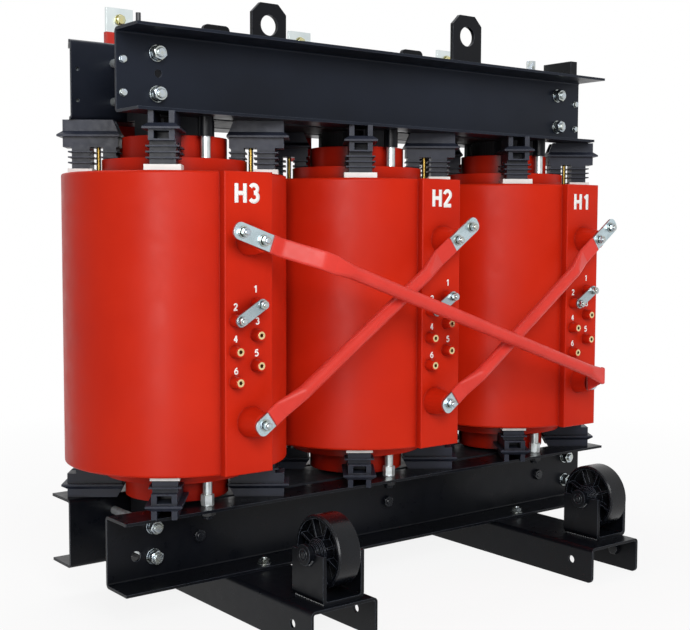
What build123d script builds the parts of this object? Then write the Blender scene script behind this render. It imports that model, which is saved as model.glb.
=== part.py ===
from build123d import *
import os
from math import atan2, cos, degrees, hypot, radians, sin, sqrt, tan

# Cast-resin dry type distribution transformer, in millimetres, +Z up.
# Origin: on the floor under the middle of the core. X runs along the core from phase H3
# (-X) to phase H1 (+X); the high-voltage terminals look along -Y.

# ---------------------------------------------------------------- driving dimensions
PHASE_PITCH = 500.0
PHASES = {"h3": -PHASE_PITCH, "h2": 0.0, "h1": PHASE_PITCH}
SHEET = 6.0                       # plate of the beams and rails
BEND = 10.0                       # outer bend radius of that plate

RAIL_X = {"left": -391.5, "right": 391.5}    # two cross rails under the lower beams
RAIL_Y = {"left": 12.5, "right": -12.5}      # middle of each rail
RAIL_WIDTH, RAIL_HEIGHT, RAIL_LENGTH = 164.0, 82.0, 955.0
RAIL_HOLE_IN, RAIL_HOLE_Z, RAIL_HOLE_R = 63.0, 44.0, 9.0      # distance from the rail's end
RAIL_BOLT_X, RAIL_BOLT_Y, RAIL_BOLT_R = 21.0, 150.0, 7.0      # from the rail's middle, |Y|, radius
FOOT_ROUND = 12.0                 # rounded ends of the rail's legs

LOWER_LENGTH, LOWER_BOTTOM, LOWER_TOP = 1430.0, RAIL_HEIGHT, 232.0
LOWER_WEB, LOWER_DEPTH = 85.0, 89.0          # |Y| of the web's core side, overall depth
UPPER_LENGTH, UPPER_BOTTOM, UPPER_TOP = 1371.0, 1046.0, 1214.0
UPPER_MIDDLE = {-1: -2.0, 1: -10.0}          # x of each upper beam's middle
UPPER_WEB, UPPER_DEPTH = 92.0, 96.0

LOWER_BOLT_X, LOWER_BOLT_Z = (-610.0, 658.0), (132.0, 196.0)
UPPER_BOLT_X, UPPER_BOLT_Z = (-597.0, 598.0), (1088.0, 1170.0)
LOWER_HOLE = (-650.0, 138.0, 11.0)           # x, z, radius of the spare hole
UPPER_HOLE = (-593.0, 1130.0, 8.5)
CLAMP_ROD_R = 9.0
YOKE_BOLT_X, YOKE_BOLT_Z, YOKE_BOLT_R = (-501.0, 25.0, 549.0), 160.0, 8.0
END_SCREW_X, END_SCREW_Z = 671.0, (1086.0, 1152.0)         # from the beam's middle
CORNER_CUT = 39.0

YOKE_HALF_DEPTH = 75.0
YOKE_END = 575.0                  # |X| of the yokes' ends
LEG_STEPS = ((75.0, 40.0), (60.0, 60.0), (40.0, 75.0))   # half widths of the stepped leg
LOWER_YOKE_BOTTOM, UPPER_YOKE_TOP = 90.0, 1196.0

HV_INNER, HV_OUTER, HV_BOTTOM, HV_TOP = 172.0, 240.0, 317.0, 930.0
LV_INNER, LV_OUTER, LV_BOTTOM, LV_TOP = 139.0, 155.0, 287.0, 960.0
BARRIER_INNER, BARRIER_OUTER, BARRIER_BOTTOM, BARRIER_TOP = 106.0, 112.0, 240.0, 1008.0
RIM_RADIUS = 5.0

PAD_LEFT, PAD_RIGHT, PAD_FACE = -33.0, 82.0, -257.0      # terminal face cast on the coil
FACE_SHIFT = {-PHASE_PITCH: -2.0, 0.0: 20.0, PHASE_PITCH: 2.0}    # terminal face's own offset
LOW_SHIFT = {-PHASE_PITCH: (0.0, 0.0), 0.0: (0.0, 0.0), PHASE_PITCH: (-4.0, 9.0)}   # low terminal's x, z
TERMINAL_X = 25.0                 # from the coil's axis
TERMINAL_Z_LOW, TERMINAL_Z_HIGH = 424.0, 792.0
BOSS_FACE, BOSS_ROOT_R, BOSS_TIP_R = -307.0, 32.0, 22.5
LAST_FACE = -295.0                # the low boss of H1, which takes the long bar's end, is shorter
TAP_X, TAP_HALF, TAP_Z_TOP, TAP_STEP = 15.0, 25.0, 663.0, 31.0
TAP_FACE, TAP_ROOT_R, TAP_TIP_R = -279.0, 13.5, 11.0
INSERT_R, INSERT_BORE_R, INSERT_LENGTH = 8.0, 4.0, 16.0
TERMINAL_INSERT_R, TERMINAL_BORE_R, TERMINAL_INSERT = 10.0, 6.0, 24.0
BAR_HOLE_R = 6.5                  # bolt holes of the bars

PALM_WIDTH, PALM_THICK, PALM_TIP, TIP_ROUND, HOLE_PITCH = 35.0, 5.0, 22.0, 14.0, 51.0
ROD_R, SLEEVE_WALL = 12.75, 2.0
SLEEVE_START, JOGGLE = 19.0, 14.0            # sleeve's end; how far the round part stands forward
LOW_FLAT, LOW_ROUND, HIGH_FLAT, HIGH_ROUND = 48.0, 105.0, 70.0, 128.0
LIFT = 46.0                       # how far the long bar stands in front of the terminals
LONG_BEND, LONG_LEVEL, LONG_FLAT, LONG_ROUND = 45.0, 125.0, 150.0, 195.0
STEP_X, STEP_Z = -18.0, 20.0      # long bar's step back: its front middle, seen from the last boss
STEP_FLAT, STEP_BARE = 52.0, 3.0  # pressed length before the step; bare length above its foot
STEP_BEND, STEP_LEAD, FOOT_BEND, FOOT_LEAD = 9.0, 10.0, 5.0, 6.0    # radii, and corner to bend's end

BLOCK_ANGLES = (54.0, 144.0, 234.0, 324.0)
BLOCK_INNER, BLOCK_OUTER, SKIRT_INNER, SKIRT_OUTER = 118.0, 235.0, 113.5, 246.0   # radii
BLOCK_HALF, SKIRT_HALF, WALL, CAP_SLANT = 26.0, 37.0, 11.0, 10.0
LEG_OUT, LEG_IN, LEG_HALF = (178.0, 216.0), (122.0, 150.0), 26.0
RIB_REACH, INNER_REACH, RIB_THICK, RIB_PITCH = 7.0, 4.0, 3.0, 11.5
BODY_H, SKIRT_PLATE, SKIRT_H = 22.0, 4.0, 12.0
TOP_PAD, BOTTOM_PAD = (12.0, 37.0), (8.0, 30.0)     # height, half width
TOP_POST, BOTTOM_POST = 24.0, 18.0
STUD_R, STUD_RADIUS = 4.5, 163.5

TIE_ROD_Y, TIE_ROD_R, TIE_BOSS_R, TIE_BOSS_H = 128.0, 10.0, 16.0, 40.0

LUG_X, LUG_HALF, LUG_THICK, LUG_TOP, LUG_FOOT = {-1: 275.5, 1: -198.5}, 48.0, 10.0, 1344.0, 1146.0
LUG_HOLE_Z, LUG_HOLE_R, LUG_CHAMFER = 1293.0, 24.0, (23.0, 23.0)
TAB_X, TAB_HALF, TAB_TOP, TAB_ROUND = (-343.0, 247.0), 35.0, 1278.0, 12.0

LV_BAR_X, LV_BAR_HALF, LV_BAR_THICK = -26.0, 33.0, 8.0
LV_ROOT_Y, LV_RISER_Y, LV_CRANK_Z, LV_BAR_TOP = 141.0, 200.0, 991.0, 1311.0
LV_SLEEVE_TOP, LV_BOLT_Z, LV_SKIN = 1256.0, 1285.0, 2.0

BRACKET_X = {"left": 6.5, "right": 30.5}     # offset from the rail's middle
BRACKET_Y = 400.0                            # |Y| of the axles
BRACKET_WIDTH, BRACKET_LENGTH, BRACKET_PLATE, BRACKET_TOP = 102.0, 104.0, 8.0, 180.0
AXLE_Z, AXLE_R, AXLE_HEAD_R, AXLE_HEAD = 176.0, 12.0, 21.0, 10.0
WHEEL_R, WHEEL_WIDTH, RIM_THICK, WEB_THICK, SPOKES = 74.0, 54.0, 8.0, 14.0, 8
HUB_STEPS = ((29.0, 27.0), (25.0, 32.0), (21.0, 37.0), (17.0, 42.5))   # radius, half width
RUNNING_GAP = 0.05

# ---------------------------------------------------------------- small helpers


def block(x0, x1, y0, y1, z0, z1):
    """Box between two corners."""
    return Pos((x0 + x1) / 2, (y0 + y1) / 2, (z0 + z1) / 2) * Box(x1 - x0, y1 - y0, z1 - z0)


def rod(radius, start, end):
    """Round bar from start to end."""
    start, end = Vector(*start), Vector(*end)
    base = Plane(origin=start, z_dir=end - start)
    return base * Cylinder(radius, (end - start).length, align=(Align.CENTER, Align.CENTER, Align.MIN))


def cone(root_r, tip_r, start, end):
    """Tapered round boss from start to end."""
    start, end = Vector(*start), Vector(*end)
    base = Plane(origin=start, z_dir=end - start)
    align = (Align.CENTER, Align.CENTER, Align.MIN)
    return base * Cone(root_r, tip_r, (end - start).length, align=align)


def hexagon(across_flats, height, start, direction):
    """Hexagon prism standing on start."""
    base = Plane(origin=Vector(*start), z_dir=Vector(*direction))
    return base * extrude(RegularPolygon(across_flats / sqrt(3), 6), height)


def ring(outer, inner, bottom, top, rim=0.0):
    """Upright tube whose four rims are rounded by rim."""
    profile = Pos((inner + outer) / 2, (bottom + top) / 2) * Rectangle(outer - inner, top - bottom)
    if rim:
        profile = fillet(profile.vertices(), rim)
    return revolve(Plane.XZ * profile, Axis.Z)


def channel_profile(width, depth):
    """Folded C: web along the second axis at zero, flanges along the first."""
    outer = Pos(depth / 2, width / 2) * Rectangle(depth, width)
    outer = fillet(outer.vertices().sort_by(Axis.X)[:2], BEND)
    inner = Pos(SHEET + depth / 2, width / 2) * Rectangle(depth, width - 2 * SHEET)
    inner = fillet(inner.vertices().sort_by(Axis.X)[:2], BEND - SHEET)
    return outer - inner


def beam(side, web, depth, bottom, top, length):
    """Clamp beam lying along X, flanges pointing away from the core."""
    facing = Plane(origin=(0, side * web, bottom), x_dir=(0, side, 0), z_dir=(side, 0, 0))
    return extrude(facing * channel_profile(top - bottom, depth), length / 2, both=True)


def bolt_line(xs, zs):
    """Every pair of x and z."""
    return [(x, z) for x in xs for z in zs]


def drill(part, places, radius, y0, y1):
    """Round holes along Y at each (x, z)."""
    for x, z in places:
        part -= rod(radius, (x, y0, z), (x, y1, z))
    return part


def save(name, solids):
    """Write one node from its solids, in order."""
    solids = [s for shape in solids for s in shape.solids()]
    shape = solids[0] if len(solids) == 1 else Compound(children=solids)
    export_step(shape, f"parts/{name}.step")


# ---------------------------------------------------------------- frame


def make_rail(name):
    """Cross rail: a channel lying open downwards with rounded leg ends."""
    x_mid, y_mid = RAIL_X[name], RAIL_Y[name]
    origin = (x_mid - RAIL_WIDTH / 2, y_mid, RAIL_HEIGHT)
    facing = Plane(origin=origin, x_dir=(0, 0, -1), z_dir=(0, -1, 0))
    rail = extrude(facing * channel_profile(RAIL_WIDTH, RAIL_HEIGHT), RAIL_LENGTH / 2, both=True)
    foot_corners = rail.edges().filter_by(Axis.X).group_by(Axis.Z)[0]
    rail = fillet(foot_corners, FOOT_ROUND)
    reach = RAIL_WIDTH / 2 + 6
    for side in (-1, 1):
        y = y_mid + side * (RAIL_LENGTH / 2 - RAIL_HOLE_IN)
        rail -= rod(RAIL_HOLE_R, (x_mid - reach, y, RAIL_HOLE_Z), (x_mid + reach, y, RAIL_HOLE_Z))
        bolt = (x_mid + RAIL_BOLT_X, side * RAIL_BOLT_Y)
        rail -= rod(RAIL_BOLT_R, (*bolt, RAIL_HEIGHT - SHEET - 1), (*bolt, RAIL_HEIGHT + 1))
    return rail


def make_lower_beam(side):
    part = beam(side, LOWER_WEB, LOWER_DEPTH, LOWER_BOTTOM, LOWER_TOP, LOWER_LENGTH)
    far = side * (LOWER_WEB + SHEET + 1)
    near = side * (LOWER_WEB - 1)
    part = drill(part, bolt_line(LOWER_BOLT_X, LOWER_BOLT_Z), CLAMP_ROD_R, near, far)
    part = drill(part, bolt_line(YOKE_BOLT_X, (YOKE_BOLT_Z,)), YOKE_BOLT_R, near, far)
    hole_x, hole_z, hole_r = LOWER_HOLE
    part = drill(part, [(-side * hole_x, hole_z)], hole_r, near, far)
    for x in PHASES.values():
        y = side * TIE_ROD_Y
        part -= rod(TIE_ROD_R, (x, y, LOWER_TOP - SHEET - 1), (x, y, LOWER_TOP + 1))
    for x in RAIL_X.values():
        bolt = (x + RAIL_BOLT_X, side * RAIL_BOLT_Y)
        part -= rod(RAIL_BOLT_R, (*bolt, LOWER_BOTTOM - 1), (*bolt, LOWER_BOTTOM + SHEET + 1))
    return part


def corner_cut(z):
    """Prism that cuts a flange's far right corner at a slant, for the front beam."""
    root, tip = UPPER_WEB + BEND, UPPER_WEB + UPPER_DEPTH + 1
    end = UPPER_LENGTH / 2 + 1
    face = make_face(Polyline((end, -root), (end, -tip), (end - CORNER_CUT, -tip), close=True))
    return Pos(0, 0, z - 1) * extrude(face, SHEET + 2)


def make_upper_beam(side):
    """Upper beam; the rear one is turned round, and both its flanges are cut at the far corner."""
    part = beam(side, UPPER_WEB, UPPER_DEPTH, UPPER_BOTTOM, UPPER_TOP, UPPER_LENGTH)
    turn = Rot(0, 0, 180) if side > 0 else Rot(0, 0, 0)
    part -= turn * corner_cut(UPPER_BOTTOM)
    if side > 0:
        part -= turn * corner_cut(UPPER_TOP - SHEET)
    part = Pos(UPPER_MIDDLE[side], 0, 0) * part
    far = side * (UPPER_WEB + SHEET + 1)
    near = side * (UPPER_WEB - 1)
    part = drill(part, bolt_line(UPPER_BOLT_X, UPPER_BOLT_Z), CLAMP_ROD_R, near, far)
    part = drill(part, bolt_line(screw_columns(side), END_SCREW_Z), 4, near, far)
    hole_x, hole_z, hole_r = UPPER_HOLE
    return drill(part, [(-side * hole_x, hole_z)], hole_r, near, far)


def screw_columns(side):
    """x of the small screws at both ends of one upper beam."""
    return (UPPER_MIDDLE[side] - END_SCREW_X, UPPER_MIDDLE[side] + END_SCREW_X)


def make_lug(side):
    """Lifting eye: flat plate with clipped shoulders on the core side of an upper beam."""
    x = LUG_X[side]
    clip_x, clip_z = LUG_CHAMFER
    half = Polyline(
        (x - LUG_HALF, LUG_FOOT), (x + LUG_HALF, LUG_FOOT), (x + LUG_HALF, LUG_TOP - clip_z),
        (x + LUG_HALF - clip_x, LUG_TOP), (x - LUG_HALF + clip_x, LUG_TOP),
        (x - LUG_HALF, LUG_TOP - clip_z), close=True)
    face = make_face(half) - Pos(x, LUG_HOLE_Z) * Circle(LUG_HOLE_R)
    face_y = -UPPER_WEB + LUG_THICK if side < 0 else UPPER_WEB
    facing = Plane(origin=(0, face_y, 0), x_dir=(1, 0, 0), z_dir=(0, -1, 0))
    return extrude(facing * face, LUG_THICK)


def make_tab(x):
    """Low round-shouldered guide tab behind the rear upper beam's web."""
    low = LUG_FOOT
    face = Pos(x, (low + TAB_TOP) / 2) * Rectangle(2 * TAB_HALF, TAB_TOP - low)
    face = fillet(face.vertices().sort_by(Axis.Y)[-2:], TAB_ROUND)
    facing = Plane(origin=(0, UPPER_WEB, 0), x_dir=(1, 0, 0), z_dir=(0, -1, 0))
    return extrude(facing * face, LUG_THICK)


def make_end_bracket():
    """Folded sheet bracket at the H1 end: lip on the beam's web, upright plate and small shelf."""
    t = 3.0
    plate_x, lip_end = 658.0, 682.0
    front, step, back = -UPPER_WEB, 6.0, 62.0
    bottom, shelf_z, top = 1180.0, 1252.0, 1267.0
    lip = block(plate_x, lip_end, front, front + t, 1070, top)
    plate = block(plate_x, plate_x + t, front, step, bottom, top)
    plate += block(plate_x, plate_x + t, step, back, bottom, shelf_z)
    shelf = block(plate_x - 34, plate_x + t, step + 4, back, shelf_z - t, shelf_z)
    part = lip + plate + shelf
    screw_x = screw_columns(-1)[1]
    for z in END_SCREW_Z:
        part -= rod(4, (screw_x, front - 1, z), (screw_x, front + t + 1, z))
    return part


# ---------------------------------------------------------------- core


def leg_face():
    """Stepped leg section."""
    face = Rectangle(2 * LEG_STEPS[0][0], 2 * LEG_STEPS[0][1])
    for half_x, half_y in LEG_STEPS[1:]:
        face += Rectangle(2 * half_x, 2 * half_y)
    return face


def make_core_lower():
    """Lower yoke and the three legs standing on it."""
    part = block(-YOKE_END, YOKE_END, -YOKE_HALF_DEPTH, YOKE_HALF_DEPTH, LOWER_YOKE_BOTTOM, LOWER_TOP)
    for x in PHASES.values():
        part += Pos(x, 0, LOWER_TOP) * extrude(leg_face(), UPPER_BOTTOM - LOWER_TOP)
    reach = YOKE_HALF_DEPTH + 1
    return drill(part, bolt_line(YOKE_BOLT_X, (YOKE_BOLT_Z,)), YOKE_BOLT_R, -reach, reach)


def make_core_upper():
    return block(-YOKE_END, YOKE_END, -YOKE_HALF_DEPTH, YOKE_HALF_DEPTH, UPPER_BOTTOM, UPPER_YOKE_TOP)


def make_yoke_boards():
    """Insulating boards between the yokes and the beams."""
    boards = []
    for side in (-1, 1):
        low = block(-560, 560, YOKE_HALF_DEPTH, LOWER_WEB, 96, 226)
        low = drill(low, bolt_line(YOKE_BOLT_X, (YOKE_BOLT_Z,)), YOKE_BOLT_R, YOKE_HALF_DEPTH - 1, 90)
        high = block(-560, 560, YOKE_HALF_DEPTH, UPPER_WEB, 1052, LUG_FOOT - 4)
        for board in (low, high):
            boards.append(board if side > 0 else mirror(board, Plane.XZ))
    return boards


# ---------------------------------------------------------------- coils


def tap_places(x):
    """The six tap bosses of one coil, 1 at the top right, zigzag downwards."""
    places = []
    for number in range(6):
        column = TAP_HALF if number % 2 == 0 else -TAP_HALF
        places.append((x + FACE_SHIFT[x] + TAP_X + column, TAP_Z_TOP - number * TAP_STEP))
    return places


def terminal_places(x):
    """Low and high terminal of one coil: x, boss face, z. Only the high one follows the face's offset."""
    shift_x, shift_z = LOW_SHIFT[x]
    low_face = LAST_FACE if x == PHASES["h1"] else BOSS_FACE
    return [(x + TERMINAL_X + shift_x, low_face, TERMINAL_Z_LOW + shift_z),
            (x + TERMINAL_X + FACE_SHIFT[x], BOSS_FACE, TERMINAL_Z_HIGH)]


def make_hv_coil(x):
    """Cast high-voltage coil with its flat terminal face and bosses."""
    part = Pos(x, 0, 0) * ring(HV_OUTER, HV_INNER, HV_BOTTOM, HV_TOP, RIM_RADIUS)
    shift = x + FACE_SHIFT[x]
    pad = block(shift + PAD_LEFT, shift + PAD_RIGHT, PAD_FACE, -200, HV_BOTTOM, HV_TOP)
    front = pad.faces().sort_by(Axis.Y)[0].edges()
    part += fillet(front, 3)
    for bx, face, bz in terminal_places(x):
        part += cone(BOSS_ROOT_R, BOSS_TIP_R, (bx, PAD_FACE + 1, bz), (bx, face, bz))
        part -= rod(TERMINAL_INSERT_R, (bx, face + TERMINAL_INSERT, bz), (bx, face - 1, bz))
    for tx, tz in tap_places(x):
        part += cone(TAP_ROOT_R, TAP_TIP_R, (tx, PAD_FACE + 1, tz), (tx, TAP_FACE, tz))
        part -= rod(INSERT_R, (tx, TAP_FACE + INSERT_LENGTH, tz), (tx, TAP_FACE - 1, tz))
    return part


def make_lv_coil(x):
    return Pos(x, 0, 0) * ring(LV_OUTER, LV_INNER, LV_BOTTOM, LV_TOP)


def make_barrier(x):
    return Pos(x, 0, 0) * ring(BARRIER_OUTER, BARRIER_INNER, BARRIER_BOTTOM, BARRIER_TOP)


def insert(x, z, face, outer_r, bore_r, length):
    """Threaded brass insert, its mouth flush with the boss."""
    return rod(outer_r, (x, face + length, z), (x, face, z)) - rod(
        bore_r, (x, face + length + 1, z), (x, face - 1, z))


# ---------------------------------------------------------------- coil supports


def ribbed_leg(u0, u1, reach, bottom, top, rib_from):
    """Square leg with thin sheds around it."""
    leg = block(u0, u1, -LEG_HALF, LEG_HALF, bottom, top)
    side = LEG_HALF + RIB_REACH
    level = top - RIB_PITCH
    while level > rib_from:
        leg += block(u0 - reach, u1 + reach, -side, side, level, level + RIB_THICK)
        level -= RIB_PITCH
    return leg


def make_support(total, pad, post, lv_gap):
    """Moulded support block, seen from the coil: legs, hollow body, rain skirt and two posts.

    The first axis points outwards from the coil's axis and the third from the coil to the beam.
    """
    skirt_top = total - post
    body_top = skirt_top - SKIRT_H
    body_low = body_top - BODY_H
    part = ribbed_leg(*LEG_OUT, RIB_REACH, pad, body_low, pad + 2)
    part += ribbed_leg(*LEG_IN, INNER_REACH, lv_gap, body_low, lv_gap + 2)
    part += block(BLOCK_INNER, BLOCK_OUTER, -BLOCK_HALF, BLOCK_HALF, body_low, body_top)
    hollow = BLOCK_HALF - WALL
    part -= block(LEG_OUT[0] + 10, BLOCK_OUTER + 1, -hollow, hollow, body_low + 3, body_top - 3)
    plate_top = body_top + SKIRT_PLATE
    part += block(SKIRT_INNER, SKIRT_OUTER, -SKIRT_HALF, SKIRT_HALF, body_top, plate_top)
    low = Pos((SKIRT_INNER + SKIRT_OUTER) / 2, 0, plate_top)
    high = Pos((BLOCK_INNER + BLOCK_OUTER) / 2, 0, skirt_top)
    part += loft([low * Rectangle(SKIRT_OUTER - SKIRT_INNER, 2 * SKIRT_HALF),
                  high * Rectangle(BLOCK_OUTER - BLOCK_INNER, 2 * BLOCK_HALF)])
    side = make_face(Polyline((BLOCK_INNER, skirt_top), (BLOCK_OUTER, skirt_top), (BLOCK_OUTER, total),
                              (BLOCK_INNER + CAP_SLANT, total), close=True))
    for v in (-BLOCK_HALF, hollow):
        facing = Plane(origin=(0, v, 0), x_dir=(1, 0, 0), z_dir=(0, -1, 0))
        part += extrude(facing * side, -WALL)
    return part


def place_supports(x, z, part, flipped):
    """Four copies, a quarter turn apart."""
    turned = Rot(180, 0, 0) * part if flipped else part
    return [Pos(x, 0, z) * Rot(0, 0, angle) * turned for angle in BLOCK_ANGLES]


def make_pads(x, z, height, half, flipped):
    """White cushions between coil and support."""
    pad = block(LEG_OUT[0] - RIB_REACH, LEG_OUT[1] + RIB_REACH, -half, half, 0, height)
    return place_supports(x, z, pad, flipped)


def make_studs(x):
    """Threaded rods in the gap between the two coils, from support to support."""
    low = HV_BOTTOM - BOTTOM_BODY_LOW
    high = HV_TOP + TOP_BODY_LOW
    studs = []
    for angle in BLOCK_ANGLES:
        stud_x, stud_y = x + STUD_RADIUS * cos(radians(angle)), STUD_RADIUS * sin(radians(angle))
        studs.append(rod(STUD_R, (stud_x, stud_y, low), (stud_x, stud_y, high)))
    return studs


TOP_TOTAL = UPPER_BOTTOM - HV_TOP
BOTTOM_TOTAL = HV_BOTTOM - LOWER_TOP
TOP_BODY_LOW = TOP_TOTAL - TOP_POST - SKIRT_H - BODY_H
BOTTOM_BODY_LOW = BOTTOM_TOTAL - BOTTOM_POST - SKIRT_H - BODY_H

# ---------------------------------------------------------------- low-voltage bars


def lv_strip(thick):
    """Cranked strip seen along X: root on the coil, crank, riser behind the rear beam."""
    half = thick / 2
    root, riser = LV_ROOT_Y + LV_BAR_THICK / 2, LV_RISER_Y + LV_BAR_THICK / 2
    face = make_face(Polyline(
        (root - half, LV_TOP), (root + half, LV_TOP), (root + half, LV_CRANK_Z - half),
        (riser + half, LV_CRANK_Z - half), (riser + half, LV_BAR_TOP), (riser - half, LV_BAR_TOP),
        (riser - half, LV_CRANK_Z + half), (root - half, LV_CRANK_Z + half), close=True))
    corners = face.vertices().filter_by(lambda v: abs(v.Y - LV_CRANK_Z) < thick)
    sharp = [v for v in corners if (v.Y > LV_CRANK_Z) == (v.X < 170)]
    inside = [v for v in corners if (v.Y > LV_CRANK_Z) != (v.X < 170)]
    face = fillet(sharp, 6 + thick)
    inside = [v for v in face.vertices() if any((v.X - w.X) ** 2 + (v.Y - w.Y) ** 2 < 0.01 for w in inside)]
    return fillet(inside, 6)


def lv_extrude(face, x, half):
    facing = Plane(origin=(x - half, 0, 0), x_dir=(0, 1, 0), z_dir=(1, 0, 0))
    return extrude(facing * face, 2 * half)


def make_lv_bar(x):
    bar = lv_extrude(lv_strip(LV_BAR_THICK), x + LV_BAR_X, LV_BAR_HALF)
    hole = (x + LV_BAR_X, LV_RISER_Y - 1, LV_BOLT_Z)
    return bar - rod(BAR_HOLE_R, hole, (x + LV_BAR_X, LV_RISER_Y + LV_BAR_THICK + 1, LV_BOLT_Z))


def make_lv_sleeve(x):
    """Shrink sleeve around the bar up to its bare palm."""
    jacket = lv_extrude(lv_strip(LV_BAR_THICK + 2 * LV_SKIN), x + LV_BAR_X, LV_BAR_HALF + LV_SKIN)
    jacket &= block(x - 200, x + 200, 100, 300, LV_TOP + 6, LV_SLEEVE_TOP)
    return jacket - lv_extrude(lv_strip(LV_BAR_THICK), x + LV_BAR_X, LV_BAR_HALF)


# ---------------------------------------------------------------- delta bars


def bar_plane(start, end):
    """Plane on the boss faces, first axis along the bar and third axis forwards."""
    along = Vector(end[0] - start[0], 0, end[1] - start[1])
    return Plane(origin=(start[0], BOSS_FACE, start[1]), x_dir=along, z_dir=(0, -1, 0))


def palm(x0, x1, direction=1, width=PALM_WIDTH):
    """Flat end of a bar between x0 and x1; its tip, at x0 for direction 1, is rounded."""
    body = Pos((x0 + x1) / 2, 0) * Rectangle(x1 - x0, width)
    order = body.vertices().sort_by(Axis.X)
    tip = order[:2] if direction > 0 else order[-2:]
    return extrude(fillet(tip, TIP_ROUND), PALM_THICK)


def section(x, z, width, thick, turn=0.0):
    """Pressed section with round edges across the bar at x, slanted in plan by turn degrees."""
    across = (-sin(radians(turn)), cos(radians(turn)), 0)
    along = (cos(radians(turn)), sin(radians(turn)), 0)
    plane = Plane(origin=(x, 0, z), x_dir=across, z_dir=along)
    return plane * SlotOverall(width / cos(radians(turn)), thick)


def round_section(x, z, radius):
    """Nearly round section at x, of the same form as the pressed one so that they blend evenly."""
    return section(x, z, 2 * radius + 0.2, 2 * radius)


def flat_run(x0, x1, z, width, thick):
    """Straight pressed length of a bar."""
    return extrude(section(x0, z, width, thick), x1 - x0)


def bar_sizes(grow):
    """Width, thickness and rod radius of the bare bar (grow 0) or its sleeve."""
    return PALM_WIDTH + 2 * grow, PALM_THICK + 2 * grow, ROD_R + grow


def clear_boss(sleeve, x, y=0.0):
    """Cut the sleeve's back away where it would lie on a boss."""
    return sleeve - Pos(x, y, -5) * Cylinder(BOSS_TIP_R + 1, 10)


def short_core(length, grow):
    """Pressed flat, taper, round run and the same back to flat, between two terminals."""
    width, thick, radius = bar_sizes(grow)
    mid, axis = PALM_THICK / 2, PALM_THICK / 2 + JOGGLE
    high_flat, high_round = length - HIGH_FLAT, length - HIGH_ROUND
    part = flat_run(SLEEVE_START, LOW_FLAT, mid, width, thick)
    part += loft([section(LOW_FLAT, mid, width, thick), round_section(LOW_ROUND, axis, radius)])
    part += extrude(round_section(LOW_ROUND, axis, radius), high_round - LOW_ROUND)
    part += loft([round_section(high_round, axis, radius), section(high_flat, mid, width, thick)])
    return part + flat_run(high_flat, length - SLEEVE_START, mid, width, thick)


def make_short_bar(start, end):
    """Bar from a low boss (one hole) to a high boss (two holes), each given as x and z."""
    length = hypot(end[0] - start[0], end[1] - start[1])
    core = short_core(length, 0)
    bar = core + palm(-PALM_TIP, SLEEVE_START)
    bar += palm(length - SLEEVE_START, length + HOLE_PITCH + PALM_TIP, -1)
    for x in (0, length, length + HOLE_PITCH):
        bar -= rod(BAR_HOLE_R, (x, 0, -1), (x, 0, PALM_THICK + 1))
    sleeve = clear_boss(clear_boss(short_core(length, SLEEVE_WALL) - core, 0), length)
    plane = bar_plane(start, end)
    return plane * bar, plane * sleeve


def long_line():
    """Long bar's line to the front of its step: its end point, length and slope in degrees."""
    target = (LONG_END[0] + STEP_X, LONG_END[2] + STEP_Z)
    run, drop = target[0] - LONG_START[0], LONG_START[2] - target[1]
    return target, hypot(run, drop), degrees(atan2(drop, run))


def long_core(grow):
    """Flat end bent forwards, taper, round run and a pressed end up to the step."""
    _, span, slope = long_line()
    width, thick, radius = bar_sizes(grow)
    mid = PALM_THICK / 2
    high = mid + LIFT
    path = FilletPolyline((SLEEVE_START, 0, mid), (LONG_BEND, 0, mid), (LONG_LEVEL, 0, high),
                          (LONG_FLAT, 0, high), radius=25)
    part = sweep(section(SLEEVE_START, mid, width, thick), path=path)
    part += loft([section(LONG_FLAT, high, width, thick), round_section(LONG_ROUND, high, radius)])
    fold = span - STEP_LEAD / cos(radians(slope))
    pressed = fold - STEP_FLAT
    part += extrude(round_section(LONG_ROUND, high, radius), pressed - LONG_ROUND)
    return part + loft([round_section(pressed, high, radius), section(fold, high, width, thick, slope)])


def step_section(y, z, width, thick):
    """Section across the step's leg, seen from the last boss."""
    plane = Plane(origin=(STEP_X, y, z), x_dir=(0, 1, 0), z_dir=(0, 0, -1))
    return plane * SlotOverall(width, thick)


def step_back(grow):
    """Step of the pressed end: a bend backwards, a leg leaning down to the boss and a bend to the palm."""
    slope = radians(long_line()[2])
    width, thick, _ = bar_sizes(grow)
    width = width / cos(slope)
    high, low = LAST_FACE - BOSS_FACE + LIFT + PALM_THICK / 2, PALM_THICK / 2
    front, leg_top = STEP_Z + STEP_LEAD * tan(slope), high - STEP_LEAD
    turn = FilletPolyline((STEP_X - STEP_LEAD, front, high), (STEP_X, front, high),
                          (STEP_X, front, leg_top), radius=STEP_BEND)
    start = Pos(0, front, 0) * section(STEP_X - STEP_LEAD, high, width, thick)
    foot = low + FOOT_LEAD
    end = foot + (STEP_BARE if grow else 0)
    lean = front * (end - foot) / (leg_top - foot)
    ends = [step_section(front, leg_top, width, thick), step_section(lean, end, width, thick)]
    part = sweep(start, path=turn) + loft(ends)
    if grow:
        return part
    heel = FilletPolyline((STEP_X, 0, foot), (STEP_X, 0, low), (STEP_X + FOOT_LEAD, 0, low), radius=FOOT_BEND)
    return part + sweep(step_section(0, foot, width, thick), path=heel)


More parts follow.
